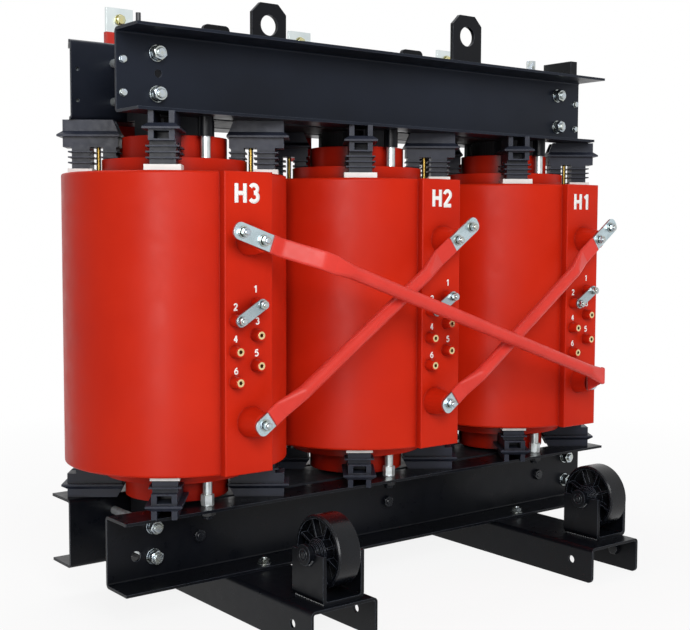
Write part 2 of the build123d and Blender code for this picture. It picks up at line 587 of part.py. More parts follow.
def make_long_bar():
    """Bar from the first high boss, in front of the others, stepped back onto the last low boss."""
    target, _, slope = long_line()
    line = bar_plane((LONG_START[0], LONG_START[2]), target)
    last = Plane(origin=LONG_END, x_dir=(1, 0, 0), z_dir=(0, -1, 0))
    bar = line * (long_core(0) + palm(-HOLE_PITCH - PALM_TIP, SLEEVE_START))
    bar += last * (step_back(0) + palm(STEP_X + FOOT_BEND, PALM_TIP, -1, PALM_WIDTH / cos(radians(slope))))
    for x in (-HOLE_PITCH, 0):
        bar -= line * rod(BAR_HOLE_R, (x, 0, -1), (x, 0, PALM_THICK + 1))
    bar -= last * rod(BAR_HOLE_R, (0, 0, -1), (0, 0, PALM_THICK + 1))
    sleeve = line * clear_boss(long_core(SLEEVE_WALL), 0) + last * step_back(SLEEVE_WALL)
    return bar, sleeve - bar


# ---------------------------------------------------------------- fasteners


def bolt(x, y, z, direction, flats, head, washer_r, shank_r, depth):
    """Hexagon bolt whose washer seats at y; direction is the sign of the head along Y."""
    washer = 2.5
    part = rod(washer_r, (x, y, z), (x, y + direction * washer, z))
    part += hexagon(flats, head, (x, y + direction * washer, z), (0, direction, 0))
    if depth:
        part += rod(shank_r, (x, y - direction * depth, z), (x, y + direction, z))
    return part


def upright_bolt(x, y, z, direction, flats, head, shank_r, depth):
    """Hexagon bolt along Z."""
    part = hexagon(flats, head, (x, y, z), (0, 0, direction))
    if depth:
        part += rod(shank_r, (x, y, z - direction * depth), (x, y, z + direction))
    return part


def clamp_hardware(xs, zs, web):
    """Clamp rods from beam to beam and the nut on each end."""
    face = web + SHEET
    rods, nuts = [], []
    for x, z in bolt_line(xs, zs):
        rods.append(rod(CLAMP_ROD_R, (x, -face - 24, z), (x, face + 24, z)))
        for side in (-1, 1):
            nut = rod(17, (x, side * face, z), (x, side * (face + 4), z))
            nut += hexagon(27, 15, (x, side * (face + 4), z), (0, side, 0))
            nuts.append(nut - rods[-1])
    return rods, nuts


def make_yoke_bolts():
    """Painted bolts through lower beams, boards and yoke."""
    face = LOWER_WEB + SHEET
    parts = []
    for x in YOKE_BOLT_X:
        part = rod(YOKE_BOLT_R, (x, -face - 2, YOKE_BOLT_Z), (x, face + 2, YOKE_BOLT_Z))
        for side in (-1, 1):
            part += hexagon(24, 10, (x, side * face, YOKE_BOLT_Z), (0, side, 0))
        parts.append(part)
    return parts


def make_beam_screws():
    """Small screws near the ends of the upper beams."""
    parts = []
    for side in (-1, 1):
        face = side * (UPPER_WEB + SHEET)
        for x, z in bolt_line(screw_columns(side), END_SCREW_Z):
            parts.append(bolt(x, face, z, side, 13, 6, 8, 4, SHEET + 3))
    return parts


def make_terminal_bolts():
    """Bolts of the delta bars: one in each boss, one with a nut in each free palm hole."""
    parts = []
    for x in PHASES.values():
        for bx, face, bz in terminal_places(x):
            parts.append(bolt(bx, face - PALM_THICK, bz, -1, 19, 8, 12.5, 6, PALM_THICK + 14))
    for bx, bz in free_palm_holes():
        part = bolt(bx, BOSS_FACE - PALM_THICK, bz, -1, 19, 8, 12.5, 6, PALM_THICK + 12)
        part += hexagon(19, 9, (bx, BOSS_FACE, bz), (0, 1, 0))
        parts.append(part)
    return parts


def free_palm_holes():
    """Second hole of each two-hole palm."""
    places = [long_free_hole()]
    for start, end in SHORT_BARS:
        length = hypot(end[0] - start[0], end[1] - start[1])
        ux, uz = (end[0] - start[0]) / length, (end[1] - start[1]) / length
        places.append((end[0] + HOLE_PITCH * ux, end[1] + HOLE_PITCH * uz))
    return places


def long_free_hole():
    """Free hole of the long bar, beyond its first boss."""
    slope = radians(long_line()[2])
    return LONG_START[0] - HOLE_PITCH * cos(slope), LONG_START[2] + HOLE_PITCH * sin(slope)


LOW, HIGH = 0, 1
LONG_START = terminal_places(PHASES["h3"])[HIGH]
LONG_END = terminal_places(PHASES["h1"])[LOW]
SHORT_BARS = [
    [terminal_places(PHASES[name])[level][::2] for name, level in ends]
    for ends in ((("h3", LOW), ("h2", HIGH)), (("h2", LOW), ("h1", HIGH)))
]


def make_tap_link(x):
    """Plated strap over taps 1 and 2."""
    (x1, z1), (x2, z2) = tap_places(x)[:2]
    length = hypot(x2 - x1, z2 - z1)
    face = SlotCenterToCenter(length, 24)
    for hole in (-length / 2, length / 2):
        face -= Pos(hole, 0) * Circle(INSERT_BORE_R)
    middle = ((x1 + x2) / 2, TAP_FACE, (z1 + z2) / 2)
    facing = Plane(origin=middle, x_dir=(x2 - x1, 0, z2 - z1), z_dir=(0, -1, 0))
    return facing * extrude(face, 4)


def make_tap_bolts(x):
    return [bolt(tx, TAP_FACE - 4, tz, -1, 13, 6, 8, INSERT_BORE_R, 16) for tx, tz in tap_places(x)[:2]]


def make_tie_hardware():
    """Upright tie rods, their threaded bosses under the upper beams and nuts on the lower beams."""
    rods, bosses, nuts = [], [], []
    for x in PHASES.values():
        for side in (-1, 1):
            y = side * TIE_ROD_Y
            top = UPPER_BOTTOM - 4
            rods.append(rod(TIE_ROD_R, (x, y, LOWER_TOP - SHEET - 22), (x, y, top)))
            boss = rod(TIE_BOSS_R, (x, y, UPPER_BOTTOM - TIE_BOSS_H), (x, y, UPPER_BOTTOM))
            bosses.append(boss - rods[-1])
            for z, away in ((LOWER_TOP, 1), (LOWER_TOP - SHEET, -1)):
                nuts.append(hexagon(30, 16, (x, y, z), (0, 0, away)) - rods[-1])
    return rods, bosses, nuts


def make_rail_bolts():
    """Bolts from the lower beams' flanges into the rails, and the one in a rail's side."""
    parts = []
    for x in RAIL_X.values():
        for side in (-1, 1):
            place = (x + RAIL_BOLT_X, side * RAIL_BOLT_Y)
            part = upright_bolt(*place, LOWER_BOTTOM + SHEET, 1, 22, 9, RAIL_BOLT_R, 2 * SHEET + 12)
            parts.append(part + hexagon(22, 9, (*place, RAIL_HEIGHT - SHEET), (0, 0, -1)))
    inner = RAIL_X["right"] + RAIL_WIDTH / 2 - SHEET
    y = RAIL_Y["right"] - RAIL_LENGTH / 2 + RAIL_HOLE_IN
    side_bolt = hexagon(24, 10, (inner, y, RAIL_HOLE_Z), (-1, 0, 0))
    side_bolt += rod(RAIL_HOLE_R, (inner, y, RAIL_HOLE_Z), (inner + SHEET + 2, y, RAIL_HOLE_Z))
    side_bolt += hexagon(24, 10, (inner + SHEET, y, RAIL_HOLE_Z), (1, 0, 0))
    return parts + [side_bolt]


def make_lv_bolts():
    parts = []
    for x in PHASES.values():
        bx = x + LV_BAR_X
        part = bolt(bx, LV_RISER_Y, LV_BOLT_Z, -1, 19, 8, 13, BAR_HOLE_R, LV_BAR_THICK + 14)
        parts.append(part + hexagon(19, 10, (bx, LV_RISER_Y + LV_BAR_THICK, LV_BOLT_Z), (0, 1, 0)))
    return parts


# ---------------------------------------------------------------- wheels


def make_wheel_bracket(x, y):
    """Folded U standing on the rail, its ears notched for the axle."""
    half, inner = BRACKET_WIDTH / 2, BRACKET_WIDTH / 2 - BRACKET_PLATE
    outer = Pos(0, (RAIL_HEIGHT + BRACKET_TOP) / 2) * Rectangle(2 * half, BRACKET_TOP - RAIL_HEIGHT)
    outer = fillet(outer.vertices().sort_by(Axis.Y)[:2], 12)
    gap_low = RAIL_HEIGHT + BRACKET_PLATE
    gap = Pos(0, (gap_low + BRACKET_TOP + 10) / 2) * Rectangle(2 * inner, BRACKET_TOP + 10 - gap_low)
    gap = fillet(gap.vertices().sort_by(Axis.Y)[:2], 4)
    facing = Plane(origin=(x, y, 0), x_dir=(1, 0, 0), z_dir=(0, -1, 0))
    part = extrude(facing * (outer - gap), BRACKET_LENGTH / 2, both=True)
    part -= rod(AXLE_R, (x - half - 1, y, AXLE_Z), (x + half + 1, y, AXLE_Z))
    return part - block(x - half - 1, x + half + 1, y - AXLE_R, y + AXLE_R, AXLE_Z, BRACKET_TOP + 1)


def make_axle(x, y):
    """Axle welded into the notches, a flat head outside each ear."""
    half = BRACKET_WIDTH / 2
    part = rod(AXLE_R, (x - half, y, AXLE_Z), (x + half, y, AXLE_Z))
    for side in (-1, 1):
        start = x + side * half
        part += rod(AXLE_HEAD_R, (start, y, AXLE_Z), (start + side * AXLE_HEAD, y, AXLE_Z))
    return part


def make_wheel(x, y):
    """Cast wheel: plain tread, recessed web with spokes on both faces, stepped hub."""
    half = WHEEL_WIDTH / 2
    bore = AXLE_R + RUNNING_GAP
    rim_in = WHEEL_R - RIM_THICK
    web = WEB_THICK / 2
    outline = [(bore, 0)]
    for radius, reach in reversed(HUB_STEPS):
        outline += [(outline[-1][0], reach), (radius, reach)]
    outline += [(HUB_STEPS[0][0], web), (rim_in, web), (rim_in, half), (WHEEL_R - 3, half),
                (WHEEL_R, half - 3), (WHEEL_R, 0)]
    face = make_face(Polyline(*outline, close=True))
    side = revolve(face, Axis.Y)
    wheel = side + mirror(side, Plane.XZ)
    for number in range(SPOKES):
        spoke = block(HUB_STEPS[0][0] - 2, rim_in + 1, -half + 5, half - 5, -2.2, 2.2)
        wheel += Rot(0, 360 / SPOKES * number + 22.5, 0) * spoke
    return Pos(x, y, AXLE_Z) * Rot(0, 0, 90) * wheel


# ---------------------------------------------------------------- write the nodes


def main():
    os.makedirs("parts", exist_ok=True)
    save("rail_left", [make_rail("left")])
    save("rail_right", [make_rail("right")])
    save("rail_bolts", make_rail_bolts())
    save("lower_beam_front", [make_lower_beam(-1)])
    save("lower_beam_rear", [make_lower_beam(1)])
    save("upper_beam_front", [make_upper_beam(-1)])
    save("upper_beam_rear", [make_upper_beam(1)])
    lower_rods, lower_nuts = clamp_hardware(LOWER_BOLT_X, LOWER_BOLT_Z, LOWER_WEB)
    upper_rods, upper_nuts = clamp_hardware(UPPER_BOLT_X, UPPER_BOLT_Z, UPPER_WEB)
    save("lower_clamp_rods", lower_rods)
    save("upper_clamp_rods", upper_rods)
    save("clamp_nuts", lower_nuts + upper_nuts)
    save("yoke_bolts", make_yoke_bolts())
    save("beam_screws", make_beam_screws())
    save("lifting_lugs", [make_lug(1), make_lug(-1)])
    save("rear_tabs", [make_tab(x) for x in TAB_X])
    save("end_bracket", [make_end_bracket()])
    save("end_bracket_stud", [upright_bolt(640, 37, 1252, 1, 22, 27, 8, 0)])
    save("core_earth_stud", [rod(5.5, (-563, 42, UPPER_YOKE_TOP), (-563, 42, 1275))])
    save("core_legs_lower_yoke", [make_core_lower()])
    save("core_upper_yoke", [make_core_upper()])
    save("yoke_boards", make_yoke_boards())
    save("core_barriers", [make_barrier(x) for x in PHASES.values()])
    rods, bosses, nuts = make_tie_hardware()
    save("tie_rods", rods)
    save("tie_rod_bosses", bosses)
    save("tie_rod_nuts", nuts)
    top = make_support(TOP_TOTAL, TOP_PAD[0], TOP_POST, LV_TOP - HV_TOP)
    bottom = make_support(BOTTOM_TOTAL, BOTTOM_PAD[0], BOTTOM_POST, HV_BOTTOM - LV_BOTTOM)
    for name, x in PHASES.items():
        save(f"hv_coil_{name}", [make_hv_coil(x)])
        save(f"lv_coil_{name}", [make_lv_coil(x)])
        save(f"top_supports_{name}", place_supports(x, HV_TOP, top, False))
        save(f"bottom_supports_{name}", place_supports(x, HV_BOTTOM, bottom, True))
    xs = list(PHASES.values())
    save("top_pads", [p for x in xs for p in make_pads(x, HV_TOP, *TOP_PAD, False)])
    save("bottom_pads", [p for x in xs for p in make_pads(x, HV_BOTTOM, *BOTTOM_PAD, True)])
    save("coil_studs", [s for x in xs for s in make_studs(x)])
    save("lv_bars", [make_lv_bar(x) for x in xs])
    save("lv_sleeves", [make_lv_sleeve(x) for x in xs])
    save("lv_bolts", make_lv_bolts())
    save("tap_links", [make_tap_link(x) for x in xs])
    save("tap_bolts", [b for x in xs for b in make_tap_bolts(x)])
    save("tap_inserts", [insert(tx, tz, TAP_FACE, INSERT_R, INSERT_BORE_R, INSERT_LENGTH)
                         for x in xs for tx, tz in tap_places(x)])
    save("terminal_inserts", [insert(tx, tz, face, TERMINAL_INSERT_R, TERMINAL_BORE_R, TERMINAL_INSERT)
                              for x in xs for tx, face, tz in terminal_places(x)])
    save("terminal_bolts", make_terminal_bolts())
    bars = [make_long_bar()] + [make_short_bar(*ends) for ends in SHORT_BARS]
    for number, (bar, sleeve) in enumerate(bars, 1):
        save(f"delta_bar_{number}", [bar])
        save(f"delta_sleeve_{number}", [sleeve])
    brackets, axles = [], []
    for rail, rail_x in RAIL_X.items():
        for end, side in (("front", -1), ("rear", 1)):
            place = (rail_x + BRACKET_X[rail], side * BRACKET_Y)
            brackets.append(make_wheel_bracket(*place))
            axles.append(make_axle(*place))
            save(f"wheel_{end}_{rail}", [make_wheel(*place)])
    save("wheel_brackets", brackets)
    save("wheel_axles", axles)


main()
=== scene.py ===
"""Looks of a cast-resin dry type transformer on its CAD frame.

Finishes, fasteners with their threads, welds, phase and tap lettering, and the studio. Lengths are
metres in the part's frame, or millimetres where a name ends in _mm: +X along the core from phase
H3 to phase H1, -Y towards the terminals, +Z up.
"""
import logging
import math
from dataclasses import dataclass, field, replace
from enum import Enum
from typing import Iterable, Sequence

import bmesh
import bpy
from mathutils import Matrix, Vector


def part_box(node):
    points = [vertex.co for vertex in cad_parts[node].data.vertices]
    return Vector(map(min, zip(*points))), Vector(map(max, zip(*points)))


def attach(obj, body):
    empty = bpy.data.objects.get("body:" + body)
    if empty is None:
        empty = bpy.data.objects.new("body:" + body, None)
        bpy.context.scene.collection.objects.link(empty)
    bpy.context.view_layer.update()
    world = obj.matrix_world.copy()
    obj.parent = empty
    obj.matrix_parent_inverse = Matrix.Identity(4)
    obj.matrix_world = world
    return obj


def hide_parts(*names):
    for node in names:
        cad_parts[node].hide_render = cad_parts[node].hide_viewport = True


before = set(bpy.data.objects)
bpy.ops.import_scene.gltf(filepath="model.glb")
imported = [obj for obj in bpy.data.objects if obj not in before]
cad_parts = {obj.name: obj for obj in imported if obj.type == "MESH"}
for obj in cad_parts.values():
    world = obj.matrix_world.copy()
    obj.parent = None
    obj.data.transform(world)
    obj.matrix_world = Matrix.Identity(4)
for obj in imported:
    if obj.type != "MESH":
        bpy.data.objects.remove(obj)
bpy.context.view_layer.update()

log = logging.getLogger("transformer")

Tree, Node, Socket = bpy.types.NodeTree, bpy.types.Node, bpy.types.NodeSocket
Mesh, Piece, Vert = bpy.types.Mesh, bpy.types.Object, bmesh.types.BMVert
Point = tuple[float, float, float]
Profile = Sequence[tuple[float, float]]      # radius and height of each corner, in millimetres
Pair = tuple[Vector, Vector]                 # a box's corners, a seat and its axis, a line's ends

MM = 0.001
MERGE = 1e-6                                 # vertices closer than this are one
UP = Vector((0.0, 0.0, 1.0))
FRONT = Vector((0.0, -1.0, 0.0))
ALONG = Vector((1.0, 0.0, 0.0))
PHASE_X = {"h3": -0.500, "h2": 0.0, "h1": 0.500}
WHEELS = ("wheel_front_left", "wheel_front_right", "wheel_rear_left", "wheel_rear_right")


# ---------------------------------------------------------------- helpers

SRGB_KNEE, SRGB_SLOPE, SRGB_OFFSET, SRGB_GAMMA = 0.04045, 12.92, 0.055, 2.4


def linear(code: str) -> tuple[float, float, float, float]:
    """Turns an sRGB hex colour to linear RGBA.

    Args:
        code: Colour such as "#C8321C".

    Returns:
        The colour as the shaders read it.
    """
    channels = [int(code[i:i + 2], 16) / 255 for i in (1, 3, 5)]
    straight = [c / SRGB_SLOPE if c <= SRGB_KNEE else
                ((c + SRGB_OFFSET) / (1 + SRGB_OFFSET)) ** SRGB_GAMMA for c in channels]
    return (*straight, 1.0)


def per_metre(size_mm: float) -> float:
    """Returns how often a size repeats in a metre."""
    return 1.0 / (size_mm * MM)


def polar(radius: float, angle: float, height: float) -> Point:
    """Returns the point at a radius, an angle in radians and a height about the Z axis."""
    return radius * math.cos(angle), radius * math.sin(angle), height


def add_node(tree: Tree, kind: str, inputs: dict | None = None, **settings: object) -> Node:
    """Adds one node to a tree.

    Args:
        tree: Shader or geometry tree.
        kind: Blender's name of the node type.
        inputs: Socket name or number to a value, or to a socket that is linked to it.
        **settings: Properties of the node itself.

    Returns:
        The node.
    """
    made = tree.nodes.new(kind)
    for key, value in settings.items():
        setattr(made, key, value)
    for key, value in (inputs or {}).items():
        if isinstance(value, Socket):
            tree.links.new(value, made.inputs[key])
        else:
            made.inputs[key].default_value = value
    return made


def link_object(name: str, data: bpy.types.ID) -> Piece:
    """Puts something into the scene.

    Args:
        name: Name of the object.
        data: Mesh, curve, lamp or camera.

    Returns:
        The object.
    """
    made = bpy.data.objects.new(name, data)
    bpy.context.scene.collection.objects.link(made)
    return made


def dress(nodes: Iterable[str], finish: "Finish") -> None:
    """Gives CAD nodes one finish.

    Args:
        nodes: Names of CAD nodes.
        finish: What their surface is.
    """
    for name in nodes:
        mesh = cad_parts[name].data
        mesh.materials.clear()
        mesh.materials.append(finish.material())


def boxes_of(node: str) -> list[Pair]:
    """Finds the separate solids of one CAD node.

    Args:
        node: Name of the CAD node.

    Returns:
        Lowest and highest corner of each solid, in metres.
    """
    shape = bmesh.new()
    shape.from_mesh(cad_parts[node].data)
    bmesh.ops.remove_doubles(shape, verts=shape.verts, dist=MERGE)
    found, seen = [], set()
    for first in shape.verts:
        if first in seen:
            continue
        group, queue = [], [first]
        seen.add(first)
        while queue:
            vert = queue.pop()
            group.append(vert.co.copy())
            for edge in vert.link_edges:
                other = edge.other_vert(vert)
                if other not in seen:
                    seen.add(other)
                    queue.append(other)
        found.append(tuple(Vector([pick(p[i] for p in group) for i in range(3)])
                           for pick in (min, max)))
    shape.free()
    return found


# ---------------------------------------------------------------- finishes

# Which stretch of a value counts, as inputs of a Map Range node.
PATCHES = {"From Min": 0.35, "From Max": 0.65}       # noise, from one shade to the other
SHINE = {"From Min": 0.3, "From Max": 0.7}           # noise, from the smoothest to the roughest
# EDGE_HIGHLIGHT: where the painted highlight along edges starts and where it is full.
EDGE_HIGHLIGHT = {"From Min": 0.96, "From Max": 0.78}          # cosine between true and rounded normal
# PAINTED_SHADE_RANGE: where the painted shade in corners is full and where it ends.
PAINTED_SHADE_RANGE = {"From Min": 0.35, "From Max": 0.85}          # share of the sky that a crevice sees

SHARE, FIRST, SECOND, MIXED = 0, 6, 7, 2             # sockets of a Mix node for colours
SHADE_SAMPLES = 6                                    # of a Bevel or an Ambient Occlusion node
PATCH_DETAIL, GRAIN_DETAIL = 3.0, 2.0                # octaves of the noise
SHINE_PATCHES = 6                                    # patches of shine along one patch of colour
METAL = 0.5                                          # a surface more metallic keeps the default IOR
WAVE_BANDS = 20.0 / math.pi                          # bands of a Wave node in a unit at scale 1


class Slot(Enum):
    """Material slots of the part's record."""

    PAINT = "black_paint"
    ZINC = "zinc"
    BRASS = "brass"


@dataclass(frozen=True)
class Finish:
    """A surface: what it is made of, and how it was made.

    colour drifts to shade in slow patches, and the grain is a fine relief. slot names the record's
    slot for the pieces that this script adds in the finish; it is not used.
    """

    name: str
    colour: str
    shade: str
    roughness: float
    metallic: float = 0.0
    ior: float = 1.5
    specular: float = 0.5
    drift_mm: float = 150.0
    grain_mm: float = 1.6
    grain: float = 0.06
    grain_depth_mm: float = 0.05
    roughness_swing: float = 0.06
    edge_mm: float = 0.0
    # edge_highlight_colour is a painted highlight along sharp edges; edge_mm also rounds the
    # shading there.
    edge_highlight_colour: str = ""
    # painted_shade_colour is painted into corners as shade, out to painted_shade_mm.
    painted_shade_mm: float = 0.0
    painted_shade_colour: str = "#2A2C2E"
    slot: Slot | None = None

    def material(self) -> bpy.types.Material:
        """Makes the finish's material on first use.

        Returns:
            The material, the same one each time.
        """
        known = bpy.data.materials.get(self.name)
        if known:
            return known
        made = bpy.data.materials.new(self.name)
        made.use_nodes = True
        tree = made.node_tree
        tree.nodes.clear()
        place = add_node(tree, "ShaderNodeTexCoord").outputs["Object"]
        # The base colour carries a painted highlight on sharp edges and painted shade in corners.
        inputs = {"Base Color": self.painted_corner_shade(tree, self.edges(tree, self.hue(tree, place))),
                  "Roughness": self.polish(tree, place), "Normal": self.normal(tree, place),
                  "Metallic": self.metallic, "Specular IOR Level": self.specular}
        if self.metallic < METAL:
            inputs["IOR"] = self.ior
        shader = add_node(tree, "ShaderNodeBsdfPrincipled", inputs)
        add_node(tree, "ShaderNodeOutputMaterial", {"Surface": shader.outputs["BSDF"]})
        return made

    def hue(self, tree: Tree, place: Socket) -> Socket:
        """Draws the surface's colour.

        Args:
            tree: The material's tree.
            place: Where on the piece it is.

        Returns:
            The colour, in slow patches of two shades.
        """
        patches = add_node(tree, "ShaderNodeTexNoise", {
            "Vector": place, "Scale": per_metre(self.drift_mm), "Detail": PATCH_DETAIL})
        share = add_node(tree, "ShaderNodeMapRange", {"Value": patches.outputs["Fac"], **PATCHES})
        return add_node(tree, "ShaderNodeMix", {
            SHARE: share.outputs["Result"], FIRST: linear(self.colour), SECOND: linear(self.shade)},
            data_type="RGBA").outputs[MIXED]

    def edges(self, tree: Tree, colour: Socket) -> Socket:
        """Paints a highlight along sharp edges, where light catches them.

        Args:
            tree: The material's tree.
            colour: Colour elsewhere.

        Returns:
            The colour with a painted highlight along the edges.
        """
        if not self.edge_highlight_colour:
            return colour
        rounded = add_node(tree, "ShaderNodeBevel", {"Radius": self.edge_mm * MM},
                           samples=SHADE_SAMPLES)
        flat = add_node(tree, "ShaderNodeNewGeometry")
        match = add_node(tree, "ShaderNodeVectorMath", {
            0: rounded.outputs["Normal"], 1: flat.outputs["Normal"]}, operation="DOT_PRODUCT")
        share = add_node(tree, "ShaderNodeMapRange", {"Value": match.outputs["Value"], **EDGE_HIGHLIGHT})
        return add_node(tree, "ShaderNodeMix", {
            SHARE: share.outputs["Result"], FIRST: colour, SECOND: linear(self.edge_highlight_colour)},
            data_type="RGBA").outputs[MIXED]

    def painted_corner_shade(self, tree: Tree, colour: Socket) -> Socket:
        """Paints shade into narrow corners, darker where less of the sky is seen.

        Args:
            tree: The material's tree.
            colour: Colour elsewhere.

        Returns:
            The colour, with painted shade in the corners.
        """
        if not self.painted_shade_mm:
            return colour
        sky = add_node(tree, "ShaderNodeAmbientOcclusion", {"Distance": self.painted_shade_mm * MM},
                       samples=SHADE_SAMPLES)
        share = add_node(tree, "ShaderNodeMapRange", {"Value": sky.outputs["AO"], **PAINTED_SHADE_RANGE})
        return add_node(tree, "ShaderNodeMix", {
            SHARE: share.outputs["Result"], FIRST: linear(self.painted_shade_colour), SECOND: colour},
            data_type="RGBA").outputs[MIXED]

    def polish(self, tree: Tree, place: Socket) -> Socket:
        """Draws the roughness.

        Args:
            tree: The material's tree.
            place: Where on the piece it is.

        Returns:
            The roughness, a little uneven.
        """
        patches = add_node(tree, "ShaderNodeTexNoise", {
            "Vector": place, "Scale": per_metre(self.drift_mm / SHINE_PATCHES),
            "Detail": PATCH_DETAIL})
        return add_node(tree, "ShaderNodeMapRange", {
            "Value": patches.outputs["Fac"], **SHINE,
            "To Min": self.roughness - self.roughness_swing,
            "To Max": self.roughness + self.roughness_swing}).outputs["Result"]

    def relief(self, tree: Tree, place: Socket) -> Socket:
        """Returns the height of the fine relief."""
        return add_node(tree, "ShaderNodeTexNoise", {
            "Vector": place, "Scale": per_metre(self.grain_mm),
            "Detail": GRAIN_DETAIL}).outputs["Fac"]

    def normal(self, tree: Tree, place: Socket) -> Socket:
        """Lays the relief over edges that are rounded by edge_mm.

        Args:
            tree: The material's tree.
            place: Where on the piece it is.

        Returns:
            The shading normal.
        """
        inputs = {"Strength": self.grain, "Distance": self.grain_depth_mm * MM,
                  "Height": self.relief(tree, place)}
        if self.edge_mm:
            rounded = add_node(tree, "ShaderNodeBevel", {"Radius": self.edge_mm * MM},
                               samples=SHADE_SAMPLES)
            inputs["Normal"] = rounded.outputs["Normal"]
        return add_node(tree, "ShaderNodeBump", inputs).outputs["Normal"]


@dataclass(frozen=True)
class BrushedFinish(Finish):
    """Metal with fine scratches along one axis, from rolling or drawing."""

    stretch: Point = (0.05, 1.0, 1.0)

    def relief(self, tree: Tree, place: Socket) -> Socket:
        """Returns the relief, drawn out along the scratches."""
        drawn = add_node(tree, "ShaderNodeMapping", {"Vector": place, "Scale": self.stretch})
        return super().relief(tree, drawn.outputs["Vector"])


@dataclass(frozen=True)
class LaminatedFinish(Finish):
    """Stacked sheets seen on their edges, one band a sheet."""

    sheet_mm: float = 3.0
    waviness: float = 0.6
    wave_detail: float = 1.0
    wave_detail_scale: float = 3.0

    def relief(self, tree: Tree, place: Socket) -> Socket:
        """Returns the sheets' edges as bands across Y."""
        return add_node(tree, "ShaderNodeTexWave", {
            "Vector": place, "Scale": per_metre(self.sheet_mm) / WAVE_BANDS,
            "Distortion": self.waviness, "Detail": self.wave_detail,
            "Detail Scale": self.wave_detail_scale},
            wave_type="BANDS", bands_direction="Y").outputs["Fac"]

    def hue(self, tree: Tree, place: Socket) -> Socket:
        """Returns the colour, dark between the sheets."""
        return add_node(tree, "ShaderNodeMix", {
            SHARE: self.relief(tree, place), FIRST: linear(self.shade),
            SECOND: linear(self.colour)}, data_type="RGBA").outputs[MIXED]


# Powder coat on folded plate: near black with a blue cast, semi-gloss, faint orange peel, and a
# painted highlight along its edges.
COAT = Finish("black_powder_coated_steel", "#0D0F15", "#0A0C10", 0.32, specular=0.14, grain_mm=2.2,
              grain=0.10, edge_mm=1.3, edge_highlight_colour="#5C636F")
# The same coat laid thick over weld beads and small bolts: glossier, so every ripple takes a light.
# It is painted a little lighter as a painted sheen, with a painted highlight along its edges.
THICK_COAT = Finish("thick_black_coat_on_small_parts", "#13161C", "#0F1116", 0.28, specular=0.34,
                    drift_mm=20, grain_mm=1.4, grain=0.08, edge_mm=0.6, edge_highlight_colour="#656C79",
                    slot=Slot.PAINT)
# The same coat on the upper beams, painted lighter and greyer as a painted sheen, with a painted
# highlight along its edges.
BEAM_COAT = Finish("charcoal_powder_coated_steel", "#1D222D", "#171B24", 0.36, specular=0.12,
                   drift_mm=260, grain_mm=2.2, grain=0.10, edge_mm=1.3, edge_highlight_colour="#5C636F")
# Brushed enamel on sand-cast iron: black, glossy in patches, a coarser skin, and a painted
# highlight along its edges.
ENAMEL = Finish("black_enamelled_cast_iron", "#0D0F14", "#090A0E", 0.24, specular=0.22, drift_mm=40,
                grain_mm=3.4, grain=0.14, grain_depth_mm=0.08, roughness_swing=0.05, edge_mm=1.3,
                edge_highlight_colour="#646B78")
# Zinc plate, clear passivated: bright, slightly blue, straw coloured in patches, with painted shade
# in its corners.
ZINC = Finish("bright_zinc_plated_steel", "#B6C0CA", "#B5B9B0", 0.25, metallic=1.0, drift_mm=11,
              grain_mm=1.0, grain=0.12, roughness_swing=0.08, edge_mm=0.4, painted_shade_mm=5.0,
              slot=Slot.ZINC)
# Zinc plate on drawn rod: duller, and paler and only part metallic, a painted reflection of the
# white studio that keeps it pale among dark neighbours.
ROD_ZINC = Finish("dull_zinc_plated_rod", "#D5DCDF", "#BFC6C4", 0.34, metallic=0.6, drift_mm=14,
                  grain_mm=1.0, grain=0.10, edge_mm=0.6, slot=Slot.ZINC)
# Zinc plate, yellow passivated: straw coloured throughout, with painted shade in its corners.
YELLOW_ZINC = Finish("yellow_zinc_plated_steel", "#CFC48C", "#BFC3A4", 0.22, metallic=1.0,
                     drift_mm=9, grain_mm=1.0, grain=0.12, edge_mm=0.4, painted_shade_mm=5.0,
                     slot=Slot.ZINC)
# Rolled and plated strap: satin, with scratches along its length.
PLATED_STRAP = BrushedFinish("satin_plated_strap", "#A9B5BA", "#98A6AC", 0.30, metallic=1.0,
                             drift_mm=30, grain_mm=0.8, grain=0.12, edge_mm=0.5)
# Tinned copper: silvery with a green-blue cast, softly mottled.
TINNED = BrushedFinish("tinned_copper_bar", "#BDCDD3", "#AEBEC3", 0.30, metallic=1.0, drift_mm=16,
                       grain_mm=1.2, grain=0.14, stretch=(1.0, 1.0, 0.06), edge_mm=0.6)
# The same tin on the low-voltage risers: paler and evenly satin.
TINNED_RISER = BrushedFinish("tinned_low_voltage_riser", "#E0E8E8", "#D3DDDE", 0.34, metallic=0.85,
                             drift_mm=40, grain_mm=1.2, grain=0.10, stretch=(1.0, 1.0, 0.06),
                             edge_mm=0.6)
# Filled epoxy resin cast in a steel mould: deep orange red, satin, faintly uneven, with painted
# shade in dark red between the coils and near the pads and terminals.
RESIN = Finish("satin_cast_epoxy_resin", "#CF2A10", "#C3240E", 0.38, specular=0.10, drift_mm=260,
               grain_mm=3.0, grain=0.10, grain_depth_mm=0.06, edge_mm=2.0, painted_shade_mm=40.0,
               painted_shade_colour="#7E0E05")
# Polyolefin shrink sleeve: lighter salmon red, smooth satin.
SLEEVE = Finish("salmon_red_shrink_sleeve", "#DE3D33", "#D4362B", 0.38, specular=0.26, drift_mm=90,
                grain_mm=6.0, grain=0.12, grain_depth_mm=0.15, edge_mm=6.0)
# Glass-filled moulding: slate blue-black, satin, fine moulded skin, with a painted highlight along
# its edges and painted shade in its grooves.
MOULDING = Finish("slate_polyester_moulding", "#2A2E3B", "#232732", 0.42, specular=0.16,
                  drift_mm=60, grain_mm=1.2, grain=0.12, edge_mm=0.8, edge_highlight_colour="#757C8D",
                  painted_shade_mm=9.0, painted_shade_colour="#101116")
